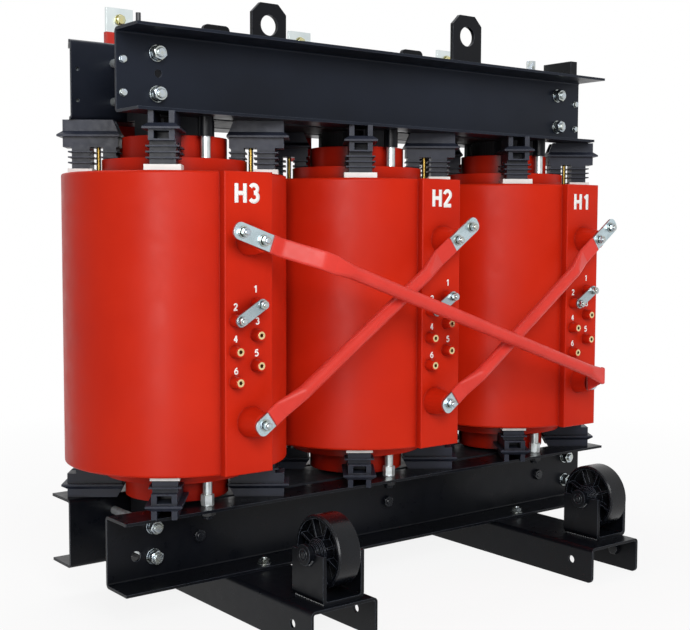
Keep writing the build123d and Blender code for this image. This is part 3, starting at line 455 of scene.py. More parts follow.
# Black nylon: satin.
NYLON = Finish("black_nylon", "#202126", "#1A1B1F", 0.45, drift_mm=30, grain_mm=1.0, edge_mm=0.6)
# Silicone cushion: white, soft sheen.
SILICONE = Finish("white_silicone_rubber", "#F1F1EE", "#E7E7E3", 0.52, drift_mm=50, grain_mm=1.5,
                  grain=0.05, edge_mm=1.5)
# Turned brass: pale yellow, tool marks, with painted shade in its hollows.
BRASS = Finish("turned_brass", "#E3CFA0", "#D6BE86", 0.28, metallic=1.0, drift_mm=12, grain_mm=0.7,
               grain=0.12, edge_mm=0.4, painted_shade_mm=4.0, painted_shade_colour="#3A2E18")
# Drawn brass rod, lacquered and a little darker, with painted shade between the thread rings.
STUD_BRASS = Finish("threaded_brass_rod", "#B99A4E", "#9E8242", 0.30, metallic=1.0, drift_mm=12,
                    grain_mm=0.7, grain=0.12, painted_shade_mm=3.0, painted_shade_colour="#2E2410",
                    slot=Slot.BRASS)
# Varnished electrical steel on its cut edges: dark grey bands. Real sheets are 0.3 mm; 3 mm shows.
LAMINATIONS = LaminatedFinish("varnished_core_laminations", "#2A2C31", "#15161A", 0.50,
                              specular=0.2, grain=0.35, grain_depth_mm=0.3)
# Varnished pressboard: dark brown black, fibrous.
PRESSBOARD = Finish("varnished_pressboard", "#241F1B", "#1A1714", 0.62, specular=0.2, drift_mm=45,
                    grain_mm=1.8, grain=0.20)
# Screen-printed marking: white, matt.
WHITE_INK = Finish("white_marking_ink", "#FBFAF7", "#F4F3F0", 0.55, drift_mm=40, grain_mm=1.5,
                   grain=0.05)


# ---------------------------------------------------------------- turned and hexagon shapes

CROWN = 0.97                # width of a hexagon's round chamfer circle over its flats
LAND_MM = 0.01              # least height between a hexagon's chamfers
TOOTH_DEPTH = 0.45          # depth of a thread over its pitch
VALLEY = (0.40, 0.60)       # where the valley starts and ends in a pitch
END_CHAMFER = 1.2           # chamfer of a stud's end over its thread's depth
SPRING_RISE = 0.25          # how far a spring washer's end stands up over its height
SPLIT_SIDES = 2             # how many of a spring washer's sides its split takes


@dataclass
class Turning:
    """Mesh builder for round and hexagon parts that stand on +Z, in millimetres."""

    sides: int = 48
    shape: bmesh.types.BMesh = field(default_factory=bmesh.new)

    def angle(self, side: float) -> float:
        """Returns the angle of a side's corner."""
        return 2 * math.pi * side / self.sides

    def stack(self, rings: Sequence[Sequence[Vert]], closed: bool = False) -> None:
        """Joins rings of vertices into a skin.

        Args:
            rings: Rings with equal counts.
            closed: Whether the last joins the first; otherwise both ends are capped.
        """
        pairs = list(zip(rings, rings[1:]))
        if closed:
            pairs.append((rings[-1], rings[0]))
        for low, high in pairs:
            for i in range(len(low)):
                after = (i + 1) % len(low)
                self.shape.faces.new((low[i], low[after], high[after], high[i]))
        if not closed:
            self.shape.faces.new(list(reversed(rings[0])))
            self.shape.faces.new(rings[-1])

    def lathe(self, profile: Profile, closed: bool = False) -> None:
        """Turns a profile round the Z axis; an open one is capped at both ends."""
        self.stack([[self.shape.verts.new(polar(radius, self.angle(i), height))
                     for i in range(self.sides)] for radius, height in profile], closed)

    def hexagon(self, flats: float, low: float, high: float, crown_both: bool) -> None:
        """Adds a hexagon with its corners chamfered at 30 degrees.

        Args:
            flats: Width over the flats.
            low: Height of its lower face.
            high: Height of its upper face.
            crown_both: Whether both faces are chamfered, or only the upper one.
        """
        flat, sector = flats / 2, math.pi / 3
        crown = flat * CROWN
        rings = [[], [], [], []]
        for i in range(self.sides):
            angle = self.angle(i)
            reach = flat / math.cos((angle + sector / 2) % sector - sector / 2)
            drop = (reach - crown) * math.tan(sector / 2)
            foot, lift = (crown, drop) if crown_both else (reach, 0.0)
            corners = ((foot, low), (reach, low + lift + LAND_MM), (reach, high - drop),
                       (crown, high))
            for ring, (radius, height) in zip(rings, corners):
                ring.append(self.shape.verts.new(polar(radius, angle, height)))
        self.stack(rings)

    def thread(self, radius: float, pitch: float, low: float, high: float) -> None:
        """Adds a stud with a true helical thread and a chamfered end.

        Args:
            radius: Radius of the thread's crests.
            pitch: Height of one turn.
            low: Height of its foot.
            high: Height of its end.
        """
        depth = pitch * TOOTH_DEPTH
        tooth = ((0.0, radius), *((share, radius - depth) for share in VALLEY))
        turns = int((high - low) / pitch) + 2        # one more at each end, cut off flat there
        columns = []
        for j in range(self.sides + 1):
            column = []
            for k in range(turns):
                for share, reach in tooth:
                    height = low + (k - 1 + share + j / self.sides) * pitch
                    height = min(max(height, low), high)
                    narrow = min(reach, radius - depth * END_CHAMFER + high - height)
                    column.append(polar(narrow, self.angle(j), height))
            columns.append(column)
        new = self.shape.verts.new
        verts = [[new(point) for point in column] for column in columns]
        for one, two in zip(verts, verts[1:]):
            for k in range(len(one) - 1):
                self.shape.faces.new((one[k], two[k], two[k + 1], one[k + 1]))
        self.shape.faces.new([new(column[-1]) for column in columns[:-1]])
        self.shape.faces.new([new(column[0]) for column in reversed(columns[:-1])])

    def spring_ring(self, inner: float, outer: float, low: float, high: float) -> None:
        """Adds a split spring washer, one end standing a little higher than the other.

        Args:
            inner: Inner radius.
            outer: Outer radius.
            low: Height of its lower face.
            high: Height of its raised end.
        """
        rise = (high - low) * SPRING_RISE
        steps = self.sides - SPLIT_SIDES
        corners = ((inner, 0.0), (outer, 0.0), (outer, 1.0), (inner, 1.0))
        rows = []
        for i in range(steps + 1):
            angle, base = self.angle(i + SPLIT_SIDES / 2), low + rise * i / steps
            rows.append([self.shape.verts.new(polar(radius, angle, base + up * (high - low - rise)))
                         for radius, up in corners])
        for one, two in zip(rows, rows[1:]):
            for k in range(len(corners)):
                after = (k + 1) % len(corners)
                self.shape.faces.new((one[k], two[k], two[after], one[after]))
        self.shape.faces.new(rows[0])
        self.shape.faces.new(list(reversed(rows[-1])))

    def mesh(self, name: str) -> Mesh:
        """Closes the builder.

        Args:
            name: Name of the mesh.

        Returns:
            The mesh in metres, faces outwards.
        """
        bmesh.ops.remove_doubles(self.shape, verts=self.shape.verts, dist=MERGE / MM)
        bmesh.ops.recalc_face_normals(self.shape, faces=self.shape.faces)
        bmesh.ops.scale(self.shape, vec=(MM, MM, MM), verts=self.shape.verts)
        made = bpy.data.meshes.new(name)
        self.shape.to_mesh(made)
        self.shape.free()
        return made


# ---------------------------------------------------------------- geometry-node trees

LEAST, MOST, DRAWN = 2, 3, 1         # float sockets of a Random Value node
SPIN = 0.5                           # a copy on a seat turns by up to this many radians


@dataclass
class NodeTool:
    """A geometry-node tree with named inputs that sets copies of a template on a guide mesh."""

    name: str
    sockets: dict[str, str] = field(default_factory=dict)
    tree: Tree | None = None

    def start(self, *lengths: str) -> tuple[Node, Node]:
        """Makes the tree's interface.

        Args:
            *lengths: Names of the inputs that are plain numbers.

        Returns:
            The group's input node, and the node that brings the template.
        """
        self.tree = bpy.data.node_groups.new(self.name, "GeometryNodeTree")
        new = self.tree.interface.new_socket
        new(name="Guide", in_out="INPUT", socket_type="NodeSocketGeometry")
        kinds = {"Template": "NodeSocketObject", "Finish": "NodeSocketMaterial",
                 "Seed": "NodeSocketInt", **dict.fromkeys(lengths, "NodeSocketFloat")}
        for name, kind in kinds.items():
            self.sockets[name] = new(name=name, in_out="INPUT", socket_type=kind).identifier
        new(name="Result", in_out="OUTPUT", socket_type="NodeSocketGeometry")
        start = add_node(self.tree, "NodeGroupInput")
        return start, add_node(self.tree, "GeometryNodeObjectInfo",
                               {"Object": start.outputs["Template"]})

    def end(self, start: Node, copies: Node) -> None:
        """Turns the copies to plain geometry in their finish.

        Args:
            start: The group's input node.
            copies: The node that sets the copies.
        """
        solid = add_node(self.tree, "GeometryNodeRealizeInstances",
                         {"Geometry": copies.outputs["Instances"]})
        dressed = add_node(self.tree, "GeometryNodeSetMaterial", {
            "Geometry": solid.outputs["Geometry"], "Material": start.outputs["Finish"]})
        add_node(self.tree, "NodeGroupOutput", {"Result": dressed.outputs["Geometry"]})

    def lay(self, name: str, template: Turning, guide: Mesh, finish: Finish,
            **values: float) -> Piece:
        """Runs the tree on a guide mesh.

        Args:
            name: Name of the finished piece.
            template: What is copied; it stands on +Z at the origin.
            guide: Points or edges that the tree works from.
            finish: Surface of the copies.
            **values: The tree's other inputs.

        Returns:
            The copies as one plain mesh object that rides on the root body.
        """
        pattern = link_object(name + "_template", template.mesh(name + "_template"))
        carrier = link_object(name + "_guide", guide)
        modifier = carrier.modifiers.new(self.name, "NODES")
        modifier.node_group = self.tree
        for key, value in {"Template": pattern, "Finish": finish.material(), **values}.items():
            modifier[self.sockets[key]] = value
        carrier.update_tag()
        evaluated = carrier.evaluated_get(bpy.context.evaluated_depsgraph_get())
        mesh = bpy.data.meshes.new_from_object(evaluated)
        mesh.name = name
        for spent in (carrier, pattern):
            bpy.data.objects.remove(spent)
        made = link_object(name, mesh)
        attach(made, "root")
        log.info("%s: %d faces", name, len(mesh.polygons))
        return made


class SeatTool(NodeTool):
    """Sets a copy of a template on each guide point, turned to the point's axis."""

    def __init__(self) -> None:
        """Builds the tree."""
        super().__init__("set_on_seats")
        start, shape = self.start()
        tree = self.tree
        axis = add_node(tree, "GeometryNodeInputNamedAttribute", {"Name": "axis"},
                        data_type="FLOAT_VECTOR")
        aim = add_node(tree, "FunctionNodeAlignRotationToVector",
                       {"Vector": axis.outputs["Attribute"]}, axis="Z")
        turn = add_node(tree, "FunctionNodeRandomValue", {
            LEAST: -SPIN, MOST: SPIN, "Seed": start.outputs["Seed"]}, data_type="FLOAT")
        spin = add_node(tree, "FunctionNodeAxisAngleToRotation", {
            "Axis": UP, "Angle": turn.outputs[DRAWN]})
        pose = add_node(tree, "FunctionNodeRotateRotation", {
            "Rotation": aim.outputs[0], "Rotate By": spin.outputs[0]}, rotation_space="LOCAL")
        self.end(start, add_node(tree, "GeometryNodeInstanceOnPoints", {
            "Points": start.outputs["Guide"], "Instance": shape.outputs["Geometry"],
            "Rotation": pose.outputs[0]}))

    def copies(self, name: str, template: Turning, seats: list[Pair], finish: Finish) -> Piece:
        """Sets a template on seats.

        Args:
            name: Name of the finished piece.
            template: What is copied.
            seats: Seat and outward axis of each copy.
            finish: Surface of the copies.

        Returns:
            The copies as one piece.
        """
        guide = bpy.data.meshes.new(name + "_seats")
        guide.from_pydata([seat for seat, _ in seats], [], [])
        axes = guide.attributes.new("axis", "FLOAT_VECTOR", "POINT")
        for i, (_, axis) in enumerate(seats):
            axes.data[i].vector = axis
        return self.lay(name, template, guide, finish, Seed=len(seats))


class RunTool(NodeTool):
    """Sets copies of a template evenly along guide edges, each slightly different in size."""

    def __init__(self) -> None:
        """Builds the tree."""
        super().__init__("set_along_runs")
        start, shape = self.start("Spacing", "Unevenness")
        tree = self.tree
        path = add_node(tree, "GeometryNodeMeshToCurve", {"Mesh": start.outputs["Guide"]})
        points = add_node(tree, "GeometryNodeResampleCurve", {
            "Curve": path.outputs["Curve"], "Length": start.outputs["Spacing"]}, mode="LENGTH")
        along = add_node(tree, "GeometryNodeInputTangent")
        aim = add_node(tree, "FunctionNodeAlignRotationToVector",
                       {"Vector": along.outputs["Tangent"]}, axis="Z")
        least = add_node(tree, "ShaderNodeMath", {0: 1.0, 1: start.outputs["Unevenness"]},
                         operation="SUBTRACT")
        size = add_node(tree, "FunctionNodeRandomValue", {
            LEAST: least.outputs[0], MOST: 1.0, "Seed": start.outputs["Seed"]}, data_type="FLOAT")
        self.end(start, add_node(tree, "GeometryNodeInstanceOnPoints", {
            "Points": points.outputs["Curve"], "Instance": shape.outputs["Geometry"],
            "Rotation": aim.outputs[0], "Scale": size.outputs[DRAWN]}))

    def copies(self, name: str, template: Turning, lines: list[Pair], finish: Finish,
               **values: float) -> Piece:
        """Sets a template along lines.

        Args:
            name: Name of the finished piece.
            template: What is copied.
            lines: Start and end of each straight run.
            finish: Surface of the copies.
            **values: The tree's other inputs.

        Returns:
            The copies as one piece.
        """
        guide = bpy.data.meshes.new(name + "_lines")
        guide.from_pydata([end for line in lines for end in line],
                          [(2 * i, 2 * i + 1) for i in range(len(lines))], [])
        return self.lay(name, template, guide, finish, **values)


# ---------------------------------------------------------------- fasteners

BORE, SPRING = 0.28, 0.47        # a washer's bore and a spring washer's edge over a nut's flats
WASHER_EDGE_MM = 0.3


class Drive(Enum):
    """How a fastener ends."""

    HEAD = "bolt head"
    NUT = "nut on a stud"


@dataclass(frozen=True)
class FastenerKind:
    """One size of bolt or nut, in millimetres from its seat; the CAD solid reaches out to stack."""

    stack: float
    flats: float
    head: float
    washer_r: float = 0.0
    washer: float = 0.0
    spring: float = 0.0
    stud_r: float = 0.0
    stud_out: float = 0.0
    pitch: float = 1.75
    drive: Drive = Drive.NUT

    def turned(self) -> Turning:
        """Turns one fastener.

        Returns:
            The fastener on +Z with its seat at the origin.
        """
        part, level, bore = Turning(), self.washer, self.flats * BORE
        if self.washer:
            outer, edge = self.washer_r, WASHER_EDGE_MM
            part.lathe([(bore, 0), (outer - edge, 0), (outer, edge), (outer, level - edge),
                        (outer - edge, level), (bore, level)], closed=True)
        if self.spring:
            part.spring_ring(bore, self.flats * SPRING, level, level + self.spring)
            level += self.spring
        top = level + self.head
        part.hexagon(self.flats, level, top, self.drive is Drive.NUT)
        if self.stud_r:
            part.thread(self.stud_r, self.pitch, level, top + self.stud_out)
        return part


@dataclass
class Fasteners:
    """Bolts and nuts: they replace the plain solids of the CAD nodes at the same seats."""

    tool: SeatTool
    clamp: FastenerKind = FastenerKind(19, 27, 14, 17, 3, 3, 9.3, 5, 2.5)
    terminal: FastenerKind = FastenerKind(10.5, 17, 8, 12.5, 2, 2.2, 5.6, 3.5, 1.75)
    tap: FastenerKind = FastenerKind(8.5, 16, 7, 10.5, 1.6, 1.8, 4.8, 3.0, 1.5)
    riser_bolt: FastenerKind = FastenerKind(10.5, 19, 8, 13, 2.5, drive=Drive.HEAD)
    riser_nut: FastenerKind = FastenerKind(14, 19, 10, stud_r=5.6, stud_out=4)
    yoke: FastenerKind = FastenerKind(10, 24, 10, stud_r=7.5, stud_out=2, pitch=2.0)
    screw: FastenerKind = FastenerKind(8.5, 13, 6, 8, 1.5, drive=Drive.HEAD)
    rail_nut: FastenerKind = FastenerKind(9, 22, 9, 15, 2, stud_r=6.9, stud_out=4, pitch=2.0)
    rail_under: FastenerKind = replace(rail_nut, stack=12)
    rail_side: FastenerKind = FastenerKind(10, 24, 10, drive=Drive.HEAD)
    coupling: FastenerKind = FastenerKind(16, 25, 22, 14, 2, drive=Drive.HEAD)
    lock_nut: FastenerKind = FastenerKind(16, 30, 14, 18, 2, stud_r=11.3, stud_out=6.6, pitch=2.5)
    upright_mm: float = 30.0         # rail bolts taller than this stand upright

    def build(self) -> None:
        """Builds every kind and puts it in the place of its CAD node."""
        level, upright = [], []
        for low, high in boxes_of("rail_bolts"):
            (upright if (high - low).z > self.upright_mm * MM else level).append((low, high))
        nuts = boxes_of("tie_rod_nuts")
        middle = sum((low + high).z for low, high in nuts) / 2 / len(nuts)
        above = [box for box in nuts if box[1].z > middle]
        below = [box for box in nuts if box[1].z <= middle]
        clamps, yokes, screws, taps, terminals, risers = (boxes_of(node) for node in (
            "clamp_nuts", "yoke_bolts", "beam_screws", "tap_bolts", "terminal_bolts", "lv_bolts"))
        for node, part, kind, finish, boxes, *axes in (
                ("clamp_nuts", "detailed", self.clamp, ZINC, clamps),
                ("yoke_bolts", "detailed", self.yoke, THICK_COAT, yokes, FRONT, -FRONT),
                ("beam_screws", "detailed", self.screw, ZINC, screws),
                ("tap_bolts", "detailed", self.tap, ZINC, taps, FRONT),
                ("terminal_bolts", "detailed", self.terminal, ZINC, terminals, FRONT),
                ("lv_bolts", "heads", self.riser_bolt, YELLOW_ZINC, risers, FRONT),
                ("lv_bolts", "nuts", self.riser_nut, YELLOW_ZINC, risers, -FRONT),
                ("rail_bolts", "top_nuts", self.rail_nut, ZINC, upright, UP),
                ("rail_bolts", "lower_nuts", self.rail_under, ZINC, upright, -UP),
                ("rail_bolts", "side", self.rail_side, THICK_COAT, level, ALONG, -ALONG),
                ("tie_rod_nuts", "couplings", self.coupling, ROD_ZINC, above, UP),
                ("tie_rod_nuts", "lock_nuts", self.lock_nut, THICK_COAT, below, -UP)):
            made = self.tool.copies(f"{node}_{part}", kind.turned(),
                                    self.seats(boxes, kind, *axes), finish)
            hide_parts(node)

    def seats(self, boxes: list[Pair], kind: FastenerKind, *axes: Vector) -> list[Pair]:
        """Finds the seats of a kind.

        Args:
            boxes: Lowest and highest corner of each CAD solid.
            kind: Its stack is how far the seat lies behind the solid's end.
            *axes: Unit directions from the seat to the end; none means away from the core.

        Returns:
            Seat and outward axis of each, one axis after the other.
        """
        if not axes:
            return [seat for low, high in boxes for seat in self.seats(
                [(low, high)], kind, -FRONT if (low + high).y > 0 else FRONT)]
        found = []
        for axis in axes:
            for low, high in boxes:
                reach = abs(((high - low) / 2).dot(axis)) - kind.stack * MM
                found.append(((low + high) / 2 + axis * reach, axis))
        return found


# ---------------------------------------------------------------- frame and running gear


@dataclass
class SteelFrame:
    """Folded beams, cross rails, lifting eyes, brackets and the welds between them."""

    runs: RunTool
    seats: SeatTool
    painted: tuple[str, ...] = (
        "rail_left", "rail_right", "lower_beam_front", "lower_beam_rear", "lifting_lugs",
        "rear_tabs", "end_bracket", "tie_rod_bosses", "yoke_bolts", "wheel_brackets", "wheel_axles")
    bead_mm: float = 4.6             # half the width of a weld bead
    bead_flatness: float = 0.6
    bead_sides: int = 12
    bead_turns: range = range(-75, 76, 30)          # in degrees, up a ripple's outline
    ripple_mm: float = 3.4
    unevenness: float = 0.3
    seed: int = 7                    # of the ripples' sizes
    corner_mm: float = 7.0           # from a bracket's side to the bead at its foot
    inset_mm: float = 6.0            # from a bracket's edges to the bead's ends
    lift_mm: float = 1.0
    axle_z: float = 0.176
    tack_r_mm: float = 21.4          # tacks lie on this circle round an axle's head
    tack_gap_mm: float = 0.6         # and this far outside the bracket
    tack_turns: range = range(-150, -20, 20)        # in degrees, where a chord starts
    cap_ring: Profile = ((11.0, 0), (13.0, 0), (13.0, 1.2), (12.4, 1.8), (11.6, 1.8), (11.0, 1.2))
    cap_centre: Profile = ((7.5, 0), (7.5, 1.6), (6.5, 2.4), (2.4, 2.4), (1.2, 1.4))

    def build(self) -> None:
        """Dresses the frame and lays the weld beads."""
        dress(self.painted, COAT)
        dress(("upper_beam_front", "upper_beam_rear"), BEAM_COAT)
        dress(WHEELS, ENAMEL)
        self.weld("bracket_welds", self.bracket_feet())
        self.weld("axle_welds", self.axle_rings())
        self.axle_caps()

    def axle_caps(self) -> None:
        """Adds the turned ring and the centre mark on the axles' heads."""
        cap = Turning()
        cap.lathe(self.cap_ring, closed=True)
        cap.lathe(self.cap_centre)
        seats = []
        for low, high in boxes_of("wheel_axles"):
            middle = (low + high) / 2
            seats += [(Vector((x, middle.y, middle.z)), axis)
                      for x, axis in ((low.x, -ALONG), (high.x, ALONG))]
        self.seats.copies("axle_caps", cap, seats, THICK_COAT)

    def bracket_feet(self) -> list[Pair]:
        """Finds where the wheel brackets' sides meet the rails.

        Returns:
            Start and end of each line.
        """
        lines, inset = [], self.inset_mm * MM
        for low, high in boxes_of("wheel_brackets"):
            z = low.z + self.lift_mm * MM
            for x in (low.x + self.corner_mm * MM, high.x - self.corner_mm * MM):
                lines.append((Vector((x, low.y + inset, z)), Vector((x, high.y - inset, z))))
        return lines

    def axle_rings(self) -> list[Pair]:
        """Finds where the axles' heads are tacked to their brackets.

        Returns:
            Start and end of each short chord round a head.
        """
        lines, gap = [], self.tack_gap_mm * MM
        for low, high in boxes_of("wheel_brackets"):
            centre = Vector((0.0, (low.y + high.y) / 2, self.axle_z))
            for x in (low.x - gap, high.x + gap):
                for turn in self.tack_turns:
                    ends = (polar(self.tack_r_mm * MM, math.radians(a), x)
                            for a in (turn, turn + self.tack_turns.step))
                    lines.append(tuple(centre + Vector((side, y, z)) for y, z, side in ends))
        return lines

    def weld(self, name: str, lines: list[Pair]) -> None:
        """Lays a rippled bead.

        Args:
            name: Name of the piece.
            lines: Start and end of each straight run.
        """
        blob = Turning(sides=self.bead_sides)
        rings = (polar(self.bead_mm, math.radians(a), 0.0) for a in self.bead_turns)
        blob.lathe([(radius, self.bead_flatness * height) for radius, height, _ in rings])
        self.runs.copies(name, blob, lines, THICK_COAT, Spacing=self.ripple_mm * MM,
                         Unevenness=self.unevenness, Seed=self.seed)


# ---------------------------------------------------------------- core and windings


@dataclass
class ActivePart:
    """Core, windings, supports, bars and their small parts."""

    runs: RunTool
    pitch_mm: float = 3.0            # of the coil studs' threads, drawn coarse enough to show
    crest_mm: float = 5.6
    root_mm: float = 4.4
    crest_share: float = 0.3         # half a thread ring's crest over half its foot
    foot_share: float = 0.35         # half its foot over the pitch
    ring_sides: int = 20
    gap_mm: float = 2.0              # from a thread's ends to the coil and the stud's end
    least_mm: float = 10.0           # a shorter stretch gets no thread
    unevenness: float = 0.0
    seed: int = 1

    def build(self) -> None:
        """Dresses the CAD nodes and adds the studs' threads."""
        phases = tuple(PHASE_X)
        dress(("core_legs_lower_yoke", "core_upper_yoke"), LAMINATIONS)
        dress(("yoke_boards",), PRESSBOARD)
        dress([f"{side}v_coil_{h}" for side in "hl" for h in phases] + ["core_barriers"], RESIN)
        dress([f"{end}_supports_{h}" for end in ("top", "bottom") for h in phases], MOULDING)
        dress(("top_pads", "bottom_pads"), SILICONE)
        dress(("tap_inserts", "terminal_inserts"), BRASS)
        dress(("coil_studs",), STUD_BRASS)
        dress([f"delta_bar_{i}" for i in (1, 2, 3)], TINNED)
        dress(("lv_bars",), TINNED_RISER)
        dress(["lv_sleeves"] + [f"delta_sleeve_{i}" for i in (1, 2, 3)], SLEEVE)
        dress(("tap_links",), PLATED_STRAP)
        dress(("rail_bolts", "clamp_nuts", "beam_screws", "end_bracket_stud", "tie_rod_nuts",
               "tap_bolts", "terminal_bolts"), ZINC)
        dress(("lower_clamp_rods", "upper_clamp_rods", "tie_rods"), ROD_ZINC)
        dress(("lv_bolts",), YELLOW_ZINC)
        dress(("core_earth_stud",), NYLON)
        self.stud_threads()

    def stud_threads(self) -> None:
        """Adds thread rings where the coil studs show above and below the windings."""
        coil_low, coil_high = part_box("hv_coil_h3")
        gap, lines = self.gap_mm * MM, []
        for low, high in boxes_of("coil_studs"):
            middle = (low + high) / 2
            for start, end in ((low.z, coil_low.z), (coil_high.z, high.z)):
                if end - start - 2 * gap > self.least_mm * MM:
                    lines.append(tuple(Vector((middle.x, middle.y, z))
                                       for z in (start + gap, end - gap)))
        ring, foot = Turning(sides=self.ring_sides), self.pitch_mm * self.foot_share
        crest = foot * self.crest_share
        ring.lathe([(self.root_mm, -foot), (self.crest_mm, -crest), (self.crest_mm, crest),
                    (self.root_mm, foot)])
        self.runs.copies("coil_stud_threads", ring, lines, STUD_BRASS,
                         Spacing=self.pitch_mm * MM, Unevenness=self.unevenness,
                         Seed=self.seed)


# ---------------------------------------------------------------- lettering

BOW_STEPS = 14


def bow(middle: tuple[float, float], reach: tuple[float, float], start: float,
        end: float) -> list[tuple]:
    """Draws part of an ellipse.

    Args:
        middle: Its centre.
        reach: Its half width and half height.
        start: First angle, in degrees from +X.
        end: Last angle.

    Returns:
        Points along it.
    """
    turns = [math.radians(start + (end - start) * i / BOW_STEPS) for i in range(BOW_STEPS + 1)]
    return [(middle[0] + reach[0] * math.cos(a), middle[1] + reach[1] * math.sin(a)) for a in turns]


# Pen paths of each glyph in a box of 1 by 1.
GLYPHS: dict[str, tuple[list[tuple], ...]] = {
    "H": ([(0.0, -0.08), (0.0, 1.08)], [(1.0, -0.08), (1.0, 1.08)], [(0.0, 0.5), (1.0, 0.5)]),
    "1": ([(0.10, 0.78), (0.62, 0.98)], [(0.62, -0.08), (0.62, 1.08)]),
    "2": (bow((0.5, 0.74), (0.5, 0.26), 170, -25) + [(0.0, 0.0)], [(-0.12, 0.0), (1.1, 0.0)]),
    "3": (bow((0.46, 0.765), (0.46, 0.235), 155, -90), bow((0.48, 0.265), (0.52, 0.265), 90, -155)),
    "4": ([(0.72, -0.08), (0.72, 1.05)], [(0.72, 1.0), (0.0, 0.30)], [(-0.1, 0.28), (1.1, 0.28)]),
    "5": ([(1.0, 1.0), (0.12, 1.0)], [(0.14, 1.0), (0.06, 0.52)],
          bow((0.46, 0.32), (0.54, 0.32), 138, -150)),
    "6": (bow((0.5, 0.30), (0.5, 0.30), 0, 360), bow((1.0, 0.30), (1.0, 0.70), 180, 100)),
}


@dataclass(frozen=True)
class Patch:
    """A glyph's place on the terminal face, in millimetres."""

    left: float
    right: float
    low: float
    high: float

    def part(self, shift: float, start: float = 0.0, end: float = 1.0) -> "Patch":
        """Returns the patch moved by shift, from start to end of its width."""
        left, width = self.left + shift, self.right - self.left
        return Patch(left + start * width, left + end * width, self.low, self.high)


@dataclass
class Lettering:
    """Phase marks and tap numbers printed on the terminal faces."""

    film_mm: float = 0.15
    sunk_mm: float = 0.05            # how deep the film's back lies in the face
    face_y_mm: float = -257.0
    face_shift_mm: dict[str, float] = field(
        default_factory=lambda: {"h3": 0.0, "h2": 27.0, "h1": 4.0})
    phase_patch: Patch = Patch(-12.0, 49.0, 865.0, 908.0)
    letter_end: float = 0.49         # share of the patch that the letter takes
    number_start: float = 0.53
    phase_pen_mm: float = 5.0
    digit_height_mm: float = 16.0
    digit_width: float = 0.66        # over its height
    digit_pen_mm: float = 1.8
    digits: tuple[tuple[str, float, float], ...] = (
        ("1", 38, 694), ("2", -10, 659), ("3", 42, 629), ("4", -10, 595), ("5", 40, 564),
        ("6", -9, 530))

    def build(self) -> None:
        """Prints the marks on all three coils."""
        half = self.digit_height_mm / 2
        wide, box, pen = half * self.digit_width, self.phase_patch, self.phase_pen_mm
        for phase, leg in PHASE_X.items():
            shift = leg / MM + self.face_shift_mm[phase]
            self.mark(f"phase_letter_{phase}", "H", box.part(shift, end=self.letter_end), pen)
            self.mark(f"phase_number_{phase}", phase[1], box.part(shift, self.number_start), pen)
            for digit, x, z in self.digits:
                spot = Patch(x - wide, x + wide, z - half, z + half).part(shift)
                self.mark(f"tap_number_{digit}_{phase}", digit, spot, self.digit_pen_mm)
        log.info("lettering: %d tap numbers and a mark on each coil", len(self.digits))

    def mark(self, name: str, glyph: str, box: Patch, pen_mm: float) -> None:
        """Prints one glyph.

        Args:
            name: Name of the piece.
            glyph: Letter or digit.
            box: Where it stands.
            pen_mm: Half the width of its strokes.
        """
        curve = bpy.data.curves.new(name, "CURVE")
        curve.dimensions = "3D"
        curve.bevel_depth = pen_mm * MM
        curve.bevel_resolution = 1
        curve.use_fill_caps = True
        left, low = box.left + pen_mm, box.low + pen_mm
        wide, tall = box.right - pen_mm - left, box.high - pen_mm - low
        for path in GLYPHS[glyph]:
            spline = curve.splines.new("POLY")
            spline.points.add(len(path) - 1)
            for point, (across, up) in zip(spline.points, path):
                point.co = ((left + across * wide) * MM, 0.0, (low + up * tall) * MM, 1.0)
        carrier = link_object(name + "_strokes", curve)
        bpy.context.view_layer.update()
        evaluated = carrier.evaluated_get(bpy.context.evaluated_depsgraph_get())
        mesh = bpy.data.meshes.new_from_object(evaluated)
        bpy.data.objects.remove(carrier)
        flatten = self.film_mm / (2 * pen_mm)
        middle_mm = self.face_y_mm + self.sunk_mm - self.film_mm / 2
        for vert in mesh.vertices:
            vert.co.y = middle_mm * MM + vert.co.y * flatten
        mesh.materials.clear()
        mesh.materials.append(WHITE_INK.material())
        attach(link_object(name, mesh), "root")


# ---------------------------------------------------------------- studio


@dataclass(frozen=True)
class SoftBox:
    """A studio lamp with a flat rectangular face."""

    name: str
    place: Point
    width: float
    height: float
    watts: float
    mirrored: bool = True
    lights_matt: bool = True


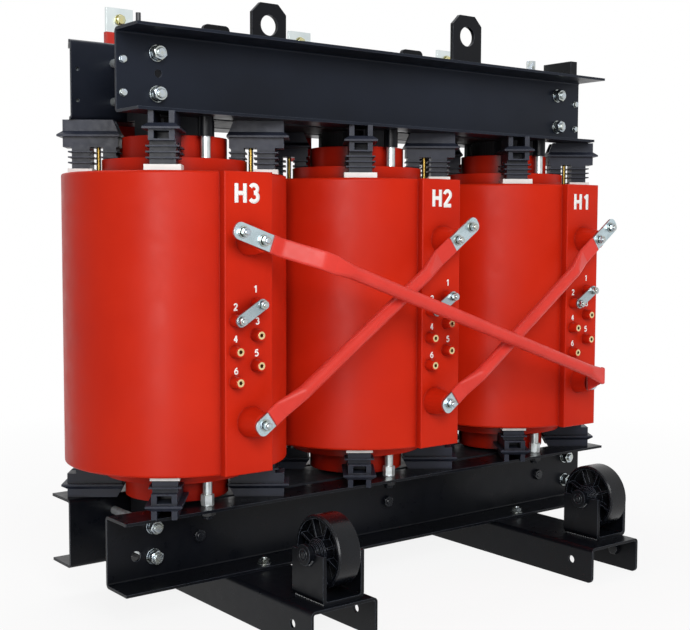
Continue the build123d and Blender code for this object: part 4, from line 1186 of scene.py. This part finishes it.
@dataclass
class Studio:
    """White sweep, soft lamps and the camera."""

    eye: Point = (-1.773, -2.244, 0.8128)
    yaw: float = 37.77
    pitch: float = -4.12
    roll: float = 0.19
    focal_px: float = 1174.7
    width_px: int = 690
    sensor_mm: float = 36.0
    sight: float = 100.0             # how far the camera sees
    target: Point = (0.0, 0.0, 0.65)
    ambient: float = 0.26
    floor_reach: float = 30.0
    paper: tuple[float, float] = (0.93, 0.97)       # how pale the floor is, darkest and lightest
    paper_scale: float = 2.0
    near: tuple[float, float] = (0.9, 0.88)         # out to here the floor glows by this share
    far: tuple[float, float] = (2.6, 1.0)           # and from here it is white
    lamps: tuple[SoftBox, ...] = (
        SoftBox("key", (-1.9, -3.7, 2.4), 1.8, 1.8, 116.0),
        SoftBox("side_strip", (-3.0, -2.5, 1.1), 1.0, 2.4, 100.0, lights_matt=False),
        SoftBox("fill", (3.2, -2.2, 1.6), 1.6, 2.0, 16.0, mirrored=False),
        SoftBox("top", (0.0, 0.8, 3.4), 2.4, 1.6, 38.0),
    )

    def build(self) -> None:
        """Sets up the light, the floor and the camera."""
        bpy.context.scene.view_settings.view_transform = "Standard"
        self.world()
        self.floor()
        for box in self.lamps:
            self.lamp(box)
        self.camera()
        log.info("studio: %d lamps", len(self.lamps))

    def seen(self, tree: Tree) -> Socket:
        """Tells the rays that show the background.

        Args:
            tree: Shader tree.

        Returns:
            1 for rays that come straight, mirrored or through glass.
        """
        path = add_node(tree, "ShaderNodeLightPath")
        mirrored = add_node(tree, "ShaderNodeMath", {
            0: path.outputs["Is Camera Ray"], 1: path.outputs["Is Glossy Ray"]}, operation="ADD")
        return add_node(tree, "ShaderNodeMath", {
            0: mirrored.outputs[0], 1: path.outputs["Is Transmission Ray"]}, operation="ADD",
            use_clamp=True).outputs[0]

    def world(self) -> None:
        """Makes the background white where it is seen, and soft light elsewhere."""
        world = bpy.data.worlds.new("studio_world")
        world.use_nodes = True
        bpy.context.scene.world = world
        tree = world.node_tree
        tree.nodes.clear()
        strength = add_node(tree, "ShaderNodeMapRange", {
            "Value": self.seen(tree), "To Min": self.ambient, "To Max": 1.0})
        shade = add_node(tree, "ShaderNodeBackground", {
            "Color": linear("#FFFFFF"), "Strength": strength.outputs["Result"]})
        add_node(tree, "ShaderNodeOutputWorld", {"Surface": shade.outputs["Background"]})

    def floor(self) -> None:
        """Lays a wide white floor that keeps a faint shadow."""
        mesh = bpy.data.meshes.new("floor")
        reach = self.floor_reach
        mesh.from_pydata([(-reach, -reach, 0), (reach, -reach, 0), (reach, reach, 0),
                          (-reach, reach, 0)], [], [(0, 1, 2, 3)])
        paper = bpy.data.materials.new("white_paper_floor")
        paper.use_nodes = True
        tree = paper.node_tree
        tree.nodes.clear()
        place = add_node(tree, "ShaderNodeTexCoord").outputs["Object"]
        grain = add_node(tree, "ShaderNodeTexNoise", {
            "Vector": place, "Scale": self.paper_scale, "Detail": GRAIN_DETAIL})
        tone = add_node(tree, "ShaderNodeMapRange", {
            "Value": grain.outputs["Fac"], "To Min": self.paper[0], "To Max": self.paper[1]})
        matt = add_node(tree, "ShaderNodeBsdfDiffuse", {"Color": tone.outputs["Result"]})
        glow = add_node(tree, "ShaderNodeEmission", {"Color": linear("#FFFFFF"), "Strength": 1.0})
        away = add_node(tree, "ShaderNodeVectorMath", {0: place}, operation="LENGTH")
        white = add_node(tree, "ShaderNodeMapRange", {
            "Value": away.outputs["Value"], "From Min": self.near[0], "From Max": self.far[0],
            "To Min": self.near[1], "To Max": self.far[1]})
        share = add_node(tree, "ShaderNodeMath", {
            0: self.seen(tree), 1: white.outputs["Result"]}, operation="MULTIPLY")
        mixed = add_node(tree, "ShaderNodeMixShader", {
            0: share.outputs[0], 1: matt.outputs[0], 2: glow.outputs[0]})
        add_node(tree, "ShaderNodeOutputMaterial", {"Surface": mixed.outputs[0]})
        mesh.materials.append(paper)
        link_object("floor", mesh)

    def lamp(self, box: SoftBox) -> None:
        """Hangs one lamp, aimed at the object.

        Args:
            box: The lamp.
        """
        light = bpy.data.lights.new(box.name, "AREA")
        light.shape = "RECTANGLE"
        light.size, light.size_y = box.width, box.height
        light.energy = box.watts
        made = link_object(box.name, light)
        made.location = box.place
        made.visible_glossy = box.mirrored
        made.visible_diffuse = box.lights_matt
        aim = Vector(self.target) - Vector(box.place)
        made.rotation_euler = aim.to_track_quat("-Z", "Y").to_euler()

    def camera(self) -> None:
        """Sets the camera at eye level, looking along the front from its left end."""
        yaw, pitch, roll = (math.radians(a) for a in (self.yaw, self.pitch, self.roll))
        ahead = Vector((math.sin(yaw) * math.cos(pitch), math.cos(yaw) * math.cos(pitch),
                        math.sin(pitch)))
        right = Vector((math.cos(yaw), -math.sin(yaw), 0.0))
        above = right.cross(ahead)
        turned = math.cos(roll) * right + math.sin(roll) * above
        lifted = -math.sin(roll) * right + math.cos(roll) * above
        lens = bpy.data.cameras.new("camera")
        lens.sensor_fit = "HORIZONTAL"
        lens.sensor_width = self.sensor_mm
        lens.lens = self.focal_px / self.width_px * self.sensor_mm
        lens.clip_end = self.sight
        made = link_object("camera", lens)
        basis = Matrix((turned, lifted, -ahead)).transposed().to_4x4()
        made.matrix_world = Matrix.Translation(self.eye) @ basis
        bpy.context.scene.camera = made


def main() -> None:
    """Builds the sub-assemblies in order."""
    logging.basicConfig(level=logging.INFO, format="%(name)s: %(message)s")
    seats, runs = SeatTool(), RunTool()
    ActivePart(runs).build()
    SteelFrame(runs, seats).build()
    Fasteners(seats).build()
    Lettering().build()
    Studio().build()


if __name__ == "__main__":
    main()
